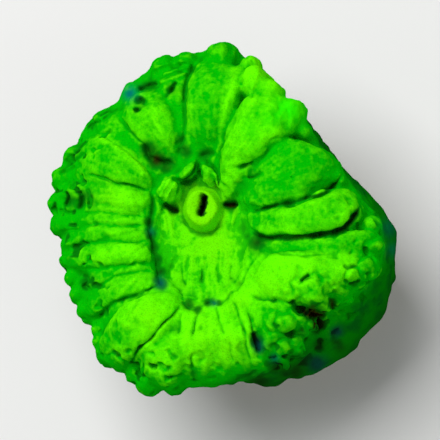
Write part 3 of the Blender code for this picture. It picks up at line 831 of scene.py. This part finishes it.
def rim_gaps(points, spots):
    """How much each place lies in one of the small dark gaps between the knobs of the rim."""
    columns, rows = spots.T
    least = 0.25
    left = smooth_step(125, 85, columns)
    front = smooth_step(330, 360, rows) * (least + (1 - least) * smooth_step(185, 160, columns))
    right = smooth_step(325, 350, columns) * smooth_step(190, 235, rows) * 0.6
    lower_right = smooth_step(262, 285, columns) * smooth_step(298, 320, rows)
    share = least + (1 - least) * np.maximum.reduce([left, front, right, lower_right])
    outer = smooth_step(95, 125, spot_distance(spots, MOUTH))
    gaps = smooth_step(0.3, 0.8, cloud(points, 0.8 * MM, 61)) * outer
    return gaps * share


def uneven(points):
    """A slow wander of the whole flesh, in metres, so that no lump stays round."""
    shift = 0
    for wander in WANDERS:
        ways = [cloud(points, wander.size * MM, wander.seed + i) for i in range(3)]
        shift = shift + np.stack(ways, axis=1) * wander.height
    return shift * MM


def polar_spots(spots, turns, reach):
    """Coordinates round the mouth in which noise is drawn out away from it."""
    turn = np.arctan2(MOUTH.row - spots[:, 1], spots[:, 0] - MOUTH.column)
    out = spot_distance(spots, MOUTH)
    return np.stack([np.cos(turn) * turns, np.sin(turn) * turns, out / reach], axis=1)


def surface_grain(points, spots, normals):
    """Height of the fine lumps and wrinkles, in metres."""
    out = spot_distance(spots, MOUTH)
    outer = smooth_step(75, 135, out)
    above = smooth_step(9 * MM, 14 * MM, points[:, 2])
    lumps = grained(points, LUMPS) + grained(points, SMALL_LUMPS)
    winding = 1 - 2.4 * np.abs(cloud(points, 0.85 * MM, 13))
    patches = smooth_step(-0.2, 0.5, cloud(points, 2.6 * MM, 14))
    wrinkles = np.maximum(winding, 0) * 0.02 * patches * (0.2 + 0.8 * outer) + grained(points, FINE_GRAIN)
    streaks = cloud(polar_spots(spots, 24, 26), 1.0, 16) * 0.035 * smooth_step(45, 80, out)
    disc = disc_share(out)
    front = smooth_step(238, 268, spots[:, 1])
    disc_streaks = cloud(flat_points(spots, 4.5, 20), 1.0, 17) * 0.1 * front * disc
    disc_streaks += grained(points, DISC_GRAIN) * disc
    wall = smooth_step(0.75, 0.35, np.abs(normals[:, 2])) * (1 - above)
    turn = np.arctan2(points[:, 1], points[:, 0])
    ring = np.stack([np.cos(turn) * 13, np.sin(turn) * 13, points[:, 2] / (6 * MM)], axis=1)
    folds = (cloud(ring, 1.0, 15) * 0.28 + grained(points, WALL_LUMPS)) * wall
    stalk = smooth_step(7.5 * MM, 5 * MM, points[:, 2])
    folds += np.cos(RIBS * turn + cloud(points, 5 * MM, 22)) * 0.05 * stalk
    return ((lumps * (0.35 + 0.65 * outer) + wrinkles + streaks + disc_streaks) * above + folds) * MM


def thinned(mesh, triangles):
    """The mesh with about this many triangles."""
    return modified(mesh, "DECIMATE", ratio=min(1.0, triangles / (2 * len(mesh.polygons))))


def largest_island(form):
    """Delete the small shells that the skin may hold inside."""
    left = set(form.verts)
    islands = []
    while left:
        seed = left.pop()
        island = {seed}
        front = [seed]
        while front:
            vertex = front.pop()
            for edge in vertex.link_edges:
                other = edge.other_vert(vertex)
                if other in left:
                    left.remove(other)
                    island.add(other)
                    front.append(other)
        islands.append(island)
    islands.sort(key=len)
    for island in islands[:-1]:
        bmesh.ops.delete(form, geom=list(island), context="VERTS")


def cut_flat(form):
    """Cut the stalk off flat at the ground and close the cut."""
    bmesh.ops.bisect_plane(
        form, geom=form.verts[:] + form.edges[:] + form.faces[:], dist=1e-7,
        plane_co=(0, 0, 0), plane_no=(0, 0, -1), clear_outer=True,
    )
    bmesh.ops.contextual_create(form, geom=[edge for edge in form.edges if edge.is_boundary])


# What each place on the skin is, for the finish


def lobe_tones(spots):
    """From 0, deep green, to 1, yellow green, as the lobes and the bands have it, the bands partly painted
    highlight and painted shade.
    """
    between_weight, between_tone = 0.02, 0.6
    spots = wandering(spots)
    weights = np.full(len(spots), between_weight)
    total = np.full(len(spots), between_weight * between_tone)
    for lobe in LOBES:
        line = [spot[:2] for spot in lobe.spine]
        wide = max(lobe.half_widths) * MM / PIXEL
        reach = near_line(spots, line, 2.5 * wide)
        distance, along, _ = line_distance(spots[reach], line)
        half = np.interp(along, np.linspace(0, 1, len(line)), lobe.half_widths) * MM / PIXEL
        weight = np.exp(-1.5 * (distance / half) ** 2)
        weights[reach] += weight
        total[reach] += weight * np.interp(along, (0, 1), lobe.tones)
    tones = total / weights
    # Bands of tone, partly painted highlight and painted shade
    for band in TONE_AND_LIGHT_BANDS:
        reach, profile, _ = line_profile(spots, band)
        tones[reach] += profile * band.depth
    return tones


def mottling(points, spots):
    """Soft blotches, streaks away from the mouth and a fine speckle, about 0 on the whole."""
    out = spot_distance(spots, MOUTH)
    disc = disc_share(out)
    streaks = cloud(polar_spots(spots, 26, 34), 1.0, 51)
    blotches = cloud(points, BLOTCHES.size * MM, BLOTCHES.seed)
    speckle = cloud(points, SPECKLE.size * MM, SPECKLE.seed)
    patches = cloud(points, 1.5 * MM, 54) * 0.24 - 0.2
    lines = cloud(flat_points(spots, 3.2, 13), 1.0, 55) * 0.22 * disc
    mottled = streaks * 0.13 + blotches * (BLOTCHES.height + 0.15 * disc)
    return mottled + speckle * (SPECKLE.height + 0.12 * disc) + patches * smooth_step(85, 140, out) + lines


def spotted(spots, marks):
    """How strongly these soft round marks colour each spot."""
    spots = wandering(spots)
    strength = np.zeros(len(spots))
    for mark in marks:
        distance = spot_distance(spots, mark) / mark.radius
        strength = np.maximum(strength, mark.height * np.exp(-(distance ** 1.8)))
    return strength


def mark_places(mesh):
    """Attributes of the skin that the finish reads, each from 0 to 1."""
    points, normals = read_skin(mesh)
    pairs = edge_pairs(mesh)
    spots = picture_spots(points)
    facing = facing_camera(normals)
    high = smooth_step(*WALL_TOP, points[:, 2])
    fine, middle, broad = (
        ((points - blurred(points, pairs, rounds)) * normals).sum(axis=1) / MM for rounds in (4, 20, 90)
    )
    depth, _ = carved_depth(spots)
    disc = np.hypot((spots[:, 0] - BASIN_COLUMN) / DISC_REACH[0], (spots[:, 1] - DISC_ROW) / DISC_REACH[1])
    mouth = lip_distance(spots)
    lifted = points[:, 2] + 2 * MM * np.maximum(normals[:, 2], 0)
    # Painted shade: the creases, slit and pits darkened as deep as they go, and the painted shadow spots
    shaded = np.maximum(depth / 1.5 * high, spotted(spots, SHADOWS) * facing)
    lip = np.maximum(smooth_step(LIP_EDGE, 16, mouth), spotted(spots, YELLOWS) * facing)
    places = {
        # grain, relief, form and height feed the painted highlight on crests and lumps and the painted shade
        # in hollows
        "grain": 0.5 + fine * 12,
        "relief": 0.5 + middle * 3.0,
        "form": 0.5 + broad * 1.2,
        "height": smooth_step(16.5 * MM, 19.3 * MM, points[:, 2]),
        # Painted shade also in the small gaps between the rim's knobs
        "crease": shaded + rim_gaps(points, spots) * high * 0.42,
        # Brown tint on the painted shade of the darkest pockets
        "pocket_brown": spotted(spots, BROWN_POCKETS) * facing * high,
        "blue": spotted(spots, BLUES) * facing,
        "fresh": spotted(spots, FRESH) * facing,
        "tone": lobe_tones(spots) + mottling(points, spots) + 0.3 * smooth_step(LIP_EDGE, 21, mouth),
        "disc": smooth_step(1.15, 0.85, disc) * high,
        "mouth": lip * high,
        "wall": 1 - smooth_step(14.5 * MM, 17.5 * MM, lifted),
    }
    for name, values in places.items():
        mark = mesh.attributes.new(name, "FLOAT", "POINT")
        mark.data.foreach_set("value", np.clip(values, 0, 1).astype(np.float32))


# The finish

# Added to the tone, so that the middle of the flesh lies half way between its two colours
MEAN_TONE = -0.49

# Heights and distances from the stalk's axis, in metres, between which one thing fades
# into the next: the wall's foot, the margin of the flesh, and the septa of the cut face
FOOT_HEIGHTS = (0.0145, 0.009)
MARGIN_HEIGHTS = (0.0068, 0.0052)
MARGIN_WANDER = 0.004
SEPTA_INNER = (0.0026, 0.0036)
SEPTA_OUTER = (0.0073, 0.0067)
SEPTA_HEIGHTS = (0.0003, 0.0001)

# How many septa the cut face shows
SEPTA = 24


class Shader:
    """A material's node tree, with short ways to add to it."""

    def __init__(self, name):
        self.material = bpy.data.materials.new(name)
        self.material.use_nodes = True
        self.nodes = self.material.node_tree.nodes
        self.links = self.material.node_tree.links
        self.nodes.clear()
        self.place = self.add("ShaderNodeTexCoord").outputs["Object"]

    def add(self, kind, inputs=None, **values):
        node = self.nodes.new(kind)
        for name, value in values.items():
            setattr(node, name, value)
        for name, value in (inputs or {}).items():
            self.feed(node.inputs[name], value)
        return node

    def feed(self, socket, value):
        """Link the socket to another one, or set its own number or colour."""
        if isinstance(value, bpy.types.NodeSocket):
            self.links.new(value, socket)
        elif socket.type == "RGBA":
            socket.default_value = (*value, 1)
        else:
            socket.default_value = value

    def attribute(self, name):
        return self.add("ShaderNodeAttribute", attribute_name=name).outputs["Fac"]

    def math(self, operation, first, second=0.0, third=0.0, clamp=False):
        node = self.add("ShaderNodeMath", operation=operation, use_clamp=clamp)
        for socket, value in zip(node.inputs, (first, second, third)):
            self.feed(socket, value)
        return node.outputs[0]

    def product(self, first, second):
        return self.math("MULTIPLY", first, second)

    def signed(self, value, amount):
        """A value from 0 to 1 as a change of up to this amount down or up."""
        return self.math("MULTIPLY_ADD", value, 2 * amount, -amount)

    def mix(self, share, first, second):
        node = self.add("ShaderNodeMix", data_type="RGBA")
        self.feed(node.inputs[0], share)
        self.feed(node.inputs[6], first)
        self.feed(node.inputs[7], second)
        return node.outputs[2]

    def noise(self, scale, detail):
        node = self.add("ShaderNodeTexNoise", {"Scale": scale, "Detail": detail, "Vector": self.place})
        return node.outputs["Fac"]

    def spread(self, value, low, high, first=0.0, second=1.0):
        """The value eased from the first number, at the low end, to the second at the high end."""
        node = self.add("ShaderNodeMapRange", {
            "Value": value, "From Min": low, "From Max": high, "To Min": first, "To Max": second,
        }, interpolation_type="SMOOTHSTEP")
        return node.outputs["Result"]

    def finished(self, inputs):
        """The material, with a surface that has these inputs."""
        surface = self.add("ShaderNodeBsdfPrincipled", inputs)
        self.add("ShaderNodeOutputMaterial", {"Surface": surface.outputs[0]})
        return self.material


def brightness(shader, blotch, speck):
    """How far the flesh is on its way from deep green to yellow green, from 0 to 1, with painted highlight
    on crests, lumps and high places and painted shade in hollows and low places.
    """
    bright = shader.math("ADD", shader.attribute("tone"), MEAN_TONE)
    height = shader.math("MAXIMUM", shader.attribute("height"), shader.attribute("disc"))
    for value, amount in (
        (shader.attribute("grain"), 0.2),
        (shader.attribute("relief"), 0.25),
        (shader.attribute("form"), 0.25),
        (height, 0.3),
        (blotch, 0.35),
        (speck, 0.4),
    ):
        bright = shader.math("ADD", bright, shader.signed(value, amount))
    return shader.math("MULTIPLY_ADD", bright, 0.9, 0.1, clamp=True)


def wall_finish(shader, finish, blotch, crease, height):
    # The wall's darker green is partly painted shade of a wall turned from the light; it has darker, bluer
    # patches and goes darker towards the foot
    wall = shader.mix(shader.spread(blotch, 0.4, 0.68), finish.shaded_wall_colour, finish.wall_shade)
    wall = shader.mix(shader.spread(height, *FOOT_HEIGHTS), wall, finish.wall_foot)
    # Painted shade: the crease and shadow marks darken the wall too
    return shader.mix(shader.spread(crease, 0.1, 0.8, 0.0, 0.85), wall, finish.crease_shade_colour)


def bone_finish(shader, finish, blotch, place_x, place_y, height):
    """Bare skeleton, with painted shade in the gaps between the septa on its cut face."""
    bone = shader.mix(shader.noise(900, 4), finish.skeleton_colour, finish.skeleton_shade)
    turn = shader.math("MULTIPLY_ADD", shader.math("ARCTAN2", place_y, place_x), SEPTA, blotch)
    gaps = shader.spread(shader.math("SINE", turn), -0.3, 0.3)
    squares = [shader.product(value, value) for value in (place_x, place_y)]
    out = shader.math("POWER", shader.math("ADD", *squares), 0.5)
    for value, ends in ((out, SEPTA_INNER), (out, SEPTA_OUTER), (height, SEPTA_HEIGHTS)):
        gaps = shader.product(gaps, shader.spread(value, *ends))
    return shader.mix(gaps, bone, finish.septa_gap_shade)


def flesh_finish(finish):
    """Matte green flesh, yellower on its crests, partly as painted highlight, with painted shade deep green
    in the hollows and creases, teal on the wall.
    """
    shader = Shader("coral flesh")
    blotch = shader.noise(620, 3)
    speck = shader.noise(3000, 2)
    crease = shader.attribute("crease")
    bright = brightness(shader, blotch, speck)
    # The flesh's own deep and yellow greens, spread by form as painted highlight on the crests and painted
    # shade on the flanks
    colour = shader.mix(bright, finish.flesh_colour, finish.crest_colour_and_highlight)
    disc = shader.product(shader.attribute("disc"), shader.spread(bright, 0.05, 0.75, 0.15, 0.95))
    colour = shader.mix(disc, colour, finish.disc_colour)
    lip = shader.product(shader.attribute("mouth"), shader.spread(bright, 0.0, 0.6, 0.3, 0.9))
    colour = shader.mix(lip, colour, finish.lip_colour)
    yellow = shader.spread(shader.noise(5500, 3), 0.52, 0.8, 0.0, 0.36)
    yellow = shader.product(yellow, shader.spread(bright, 0.05, 0.6, 0.15, 1.0))
    colour = shader.mix(yellow, colour, finish.fleck_colour)
    # Painted shade: deep green in the broad hollows and along the creases and shadow spots, almost black at
    # the bottom of the deepest; the dark flecks mixed in are the flesh's own
    hollow_shade = shader.spread(shader.attribute("form"), 0.42, 0.12, 0.0, 0.6)
    hollow_shade = shader.math("MAXIMUM", hollow_shade, shader.spread(crease, 0.05, 0.45, 0.0, 0.9))
    fleck = shader.spread(shader.noise(7500, 3), 0.46, 0.76, 0.0, 0.34)
    colour = shader.mix(shader.math("MAXIMUM", hollow_shade, fleck), colour, finish.shade_and_fleck_colour)
    colour = shader.mix(shader.spread(crease, 0.4, 0.9), colour, finish.crease_shade_colour)
    # Brown tint on the painted shade of the darkest pockets
    pocket_brown = shader.product(shader.attribute("pocket_brown"), shader.spread(crease, 0.3, 0.9, 0.0, 0.8))
    colour = shader.mix(pocket_brown, colour, finish.pocket_brown_colour)
    colour = shader.mix(shader.attribute("fresh"), colour, finish.fresh_colour)
    place_x, place_y, height = shader.add("ShaderNodeSeparateXYZ", {"Vector": shader.place}).outputs
    wall = wall_finish(shader, finish, blotch, crease, height)
    colour = shader.mix(shader.attribute("wall"), colour, wall)
    colour = shader.mix(shader.attribute("blue"), colour, finish.blue_colour)
    bare = shader.spread(shader.math("MULTIPLY_ADD", blotch, MARGIN_WANDER, height), *MARGIN_HEIGHTS)
    bone = bone_finish(shader, finish, blotch, place_x, place_y, height)
    colour = shader.mix(bare, colour, bone)
    pores = shader.math("MULTIPLY_ADD", shader.noise(5200, 2), 0.4, speck)
    bump = shader.add("ShaderNodeBump", {
        "Height": pores, "Distance": finish.grain_bump * MM, "Strength": 0.6,
    })
    return shader.finished({
        "Base Color": colour,
        "Roughness": finish.roughness,
        "Specular IOR Level": 0.0,
        "Normal": bump.outputs["Normal"],
    })


def grow_head(settings, finish):
    mesh = one_skin(whole_form(settings), settings.skin_step)
    edited(mesh, largest_island)
    sculpt(mesh, settings)
    mesh = thinned(mesh, settings.triangles)
    edited(mesh, cut_flat)
    mesh.shade_smooth()
    mark_places(mesh)
    mesh.name = "coral flesh"
    mesh.materials.clear()
    mesh.materials.append(flesh_finish(finish))
    return put_object("coral_flesh_head", mesh)


# The studio

# The floor lies this much under the cut face, so that the two don't share a plane
FLOOR_GAP = 0.02 * MM


def aim_point():
    """The middle of the picture, at the height of the crests."""
    return place(PICTURE_SIZE / 2, PICTURE_SIZE / 2, CREST_HEIGHT)


def add_floor(studio):
    form = bmesh.new()
    bmesh.ops.create_grid(form, x_segments=1, y_segments=1, size=studio.floor_size / 2)
    mesh = bpy.data.meshes.new("studio floor")
    form.to_mesh(mesh)
    form.free()
    surface = {"Base Color": studio.floor_colour, "Roughness": 0.9}
    mesh.materials.append(Shader("studio floor").finished(surface))
    floor = put_object("studio_floor", mesh)
    floor.location.z = -FLOOR_GAP


def picture_frame():
    """The picture's right, its up and the way back to the camera."""
    right = (PICTURE_SIDE + PICTURE_WAY).normalized()
    up = (PICTURE_SIDE - PICTURE_WAY).normalized()
    return right, up, PICTURE_AXIS


def add_camera(studio):
    right, up, back = picture_frame()
    data = bpy.data.cameras.new("picture camera")
    data.lens = studio.lens
    data.clip_start = 0.01
    distance = PICTURE_SIZE * PIXEL * studio.lens / data.sensor_width
    camera = put_object("picture_camera", data)
    turned = Matrix((right, up, back)).transposed().to_4x4()
    camera.matrix_world = Matrix.Translation(aim_point() + back * distance) @ turned
    bpy.context.scene.camera = camera


def add_lamp(name, toward, distance, size, power, colour):
    """A square soft lamp that looks at the head from this way in the picture's own frame."""
    right, up, back = picture_frame()
    way = (right * toward[0] + up * toward[1] + back * toward[2]).normalized()
    data = bpy.data.lights.new(name, "AREA")
    data.size = size
    data.energy = power
    data.color = colour
    turned = way.to_track_quat("Z", "Y").to_matrix().to_4x4()
    put_object(name, data).matrix_world = Matrix.Translation(aim_point() + way * distance) @ turned


def set_world(studio):
    world = bpy.data.worlds.new("soft studio")
    world.use_nodes = True
    sky = world.node_tree.nodes["Background"]
    sky.inputs["Color"].default_value = (*studio.sky_colour, 1)
    sky.inputs["Strength"].default_value = studio.sky_strength
    bpy.context.scene.world = world


# Settings, operators and panel


def colour_setting(name, text, value):
    return FloatVectorProperty(
        name=name, description=text, subtype="COLOR", size=3, min=0, max=1, default=value,
    )


class CoralHeadSettings(bpy.types.PropertyGroup):
    skin_step: FloatProperty(
        name="Skin step",
        description="Spacing of the points of the skin; smaller is finer and slower",
        default=0.12 * MM, min=0.05 * MM, max=MM, precision=5, unit="LENGTH",
    )
    triangles: IntProperty(
        name="Triangles",
        description="About how many triangles the finished head has",
        default=190000, min=5000, max=199000,
    )
    lobe_fullness: FloatProperty(
        name="Lobe fullness",
        description="How wide the lobes swell, 1 being the width at which they just meet",
        default=1.2, min=0.5, max=2.0,
    )
    crease_depth: FloatProperty(
        name="Crease depth",
        description="How deep the creases and pits are sunk, as a share of their real depth",
        default=1.0, min=0.0, max=2.0,
    )
    grain_depth: FloatProperty(
        name="Grain depth",
        description="How high the fine lumps and wrinkles stand, as a share of their real height",
        default=1.0, min=0.0, max=3.0,
    )


class CoralFinishSettings(bpy.types.PropertyGroup):
    # The yellow green of the bright lobes, also the painted highlight of the crests
    crest_colour_and_highlight: colour_setting("Crests", "Flesh on the crests of the bright lobes", (0.122, 0.955, 0.001))
    flesh_colour: colour_setting("Flesh", "Flesh on the flanks and the darker lobes", (0.001, 0.47, 0.001))
    disc_colour: colour_setting("Disc", "Flesh of the disc and the mouth", (0.112, 0.80, 0.001))
    fleck_colour: colour_setting("Flecks", "Fine yellower flecks all over the flesh", (0.20, 0.66, 0.001))
    lip_colour: colour_setting("Lip", "Yellower flesh of the ring round the mouth", (0.17, 0.80, 0.001))
    # Colours of the painted shade in hollows and creases; the first also gives the flesh's own dark flecks
    shade_and_fleck_colour: colour_setting("Hollows", "Flesh in the hollows between the lobes", (0.002, 0.155, 0.003))
    crease_shade_colour: colour_setting("Creases", "Flesh at the bottom of the creases", (0.005, 0.020, 0.003))
    # Brown tint of the painted shade in the darkest pockets
    pocket_brown_colour: colour_setting("Rust", "Brown tint in the darkest pockets", (0.05, 0.016, 0.001))
    fresh_colour: colour_setting("Fresh green", "Pure green knob at the back right", (0.022, 0.99, 0.001))
    blue_colour: colour_setting("Blue", "Blue tint of a few small patches", (0.001, 0.15, 0.14))
    # Partly painted shade of the wall turned from the light
    shaded_wall_colour: colour_setting("Wall", "Flesh of the wall below the rim", (0.001, 0.21, 0.001))
    wall_shade: colour_setting("Wall shade", "Darker, bluer patches of the wall", (0.001, 0.115, 0.006))
    wall_foot: colour_setting("Wall foot", "Flesh low on the wall, near the stalk", (0.002, 0.075, 0.002))
    # Painted shade in the gaps between the septa
    septa_gap_shade: colour_setting("Septa gaps", "Gaps between the septa on the cut", (0.16, 0.12, 0.07))
    skeleton_colour: colour_setting("Skeleton", "Bare skeleton of the lower stalk", (0.62, 0.56, 0.40))
    skeleton_shade: colour_setting("Skeleton shade", "Browner patches of the skeleton", (0.42, 0.36, 0.22))
    roughness: FloatProperty(
        name="Roughness",
        description="How matte the wet flesh is",
        default=0.62, min=0.0, max=1.0, subtype="FACTOR",
    )
    grain_bump: FloatProperty(
        name="Pore height",
        description="Height of the finest pores in millimetres",
        default=0.02, min=0.0, max=0.2,
    )


class StudioSettings(bpy.types.PropertyGroup):
    floor_size: FloatProperty(
        name="Floor size", description="Side of the square floor", default=1.2, min=0.1, unit="LENGTH",
    )
    floor_colour: colour_setting("Floor", "Colour of the plain floor", (0.80, 0.80, 0.79))
    lens: FloatProperty(
        name="Lens", description="Focal length in millimetres, long as in a close-up",
        default=300.0, min=20.0,
    )
    key_power: FloatProperty(name="Key lamp", description="Power of the main lamp", default=0.64, min=0.0)
    fill_power: FloatProperty(name="Fill lamp", description="Power of the fill lamp", default=0.12, min=0.0)
    sky_colour: colour_setting("Surround", "Colour of the soft light all round", (1.0, 1.0, 1.0))
    sky_strength: FloatProperty(
        name="Surround strength", description="Strength of the soft light all round",
        default=0.28, min=0.0,
    )


class GrowCoralHead(bpy.types.Operator):
    """Grow the fleshy head on its cut stalk and give it its finish"""
    bl_idname = "coral.grow_head"
    bl_label = "Coral head"
    bl_options = {"REGISTER", "UNDO"}

    def execute(self, context):
        head = grow_head(context.scene.coral_head, context.scene.coral_finish)
        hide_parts(CORAL_NODE)
        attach(head, "root")
        return {"FINISHED"}


class SetStudio(bpy.types.Operator):
    """Set the floor, the soft lamps and the camera round the coral"""
    bl_idname = "coral.set_studio"
    bl_label = "Studio"
    bl_options = {"REGISTER", "UNDO"}

    def execute(self, context):
        studio = context.scene.coral_studio
        add_floor(studio)
        add_lamp("key_lamp", (-0.62, 0.66, 1.1), 0.25, 0.18, studio.key_power, (1.0, 1.0, 1.0))
        add_lamp("fill_lamp", (0.7, -0.5, 0.8), 0.3, 0.25, studio.fill_power, (0.95, 0.98, 1.0))
        set_world(studio)
        add_camera(studio)
        context.scene.view_settings.view_transform = "Standard"
        return {"FINISHED"}


class CoralPanel(bpy.types.Panel):
    """The coral's sizes, colours and steps"""
    bl_idname = "VIEW3D_PT_candy_cane_coral"
    bl_label = "Candy Cane Coral"
    bl_space_type = "VIEW_3D"
    bl_region_type = "UI"
    bl_category = "Coral"

    def draw(self, context):
        groups = (
            (context.scene.coral_head, (GrowCoralHead,)),
            (context.scene.coral_finish, ()),
            (context.scene.coral_studio, (SetStudio,)),
        )
        for group, steps in groups:
            box = self.layout.box()
            for name in group.bl_rna.properties.keys():
                if name not in {"rna_type", "name"}:
                    box.prop(group, name)
            for step in steps:
                box.operator(step.bl_idname)


CLASSES = (
    CoralHeadSettings, CoralFinishSettings, StudioSettings, GrowCoralHead, SetStudio, CoralPanel,
)


def register():
    for cls in CLASSES:
        bpy.utils.register_class(cls)
    bpy.types.Scene.coral_head = PointerProperty(type=CoralHeadSettings)
    bpy.types.Scene.coral_finish = PointerProperty(type=CoralFinishSettings)
    bpy.types.Scene.coral_studio = PointerProperty(type=StudioSettings)


def unregister():
    del bpy.types.Scene.coral_studio
    del bpy.types.Scene.coral_finish
    del bpy.types.Scene.coral_head
    for cls in reversed(CLASSES):
        bpy.utils.unregister_class(cls)


def main():
    register()
    bpy.ops.coral.grow_head()
    bpy.ops.coral.set_studio()


if __name__ == "__main__":
    main()
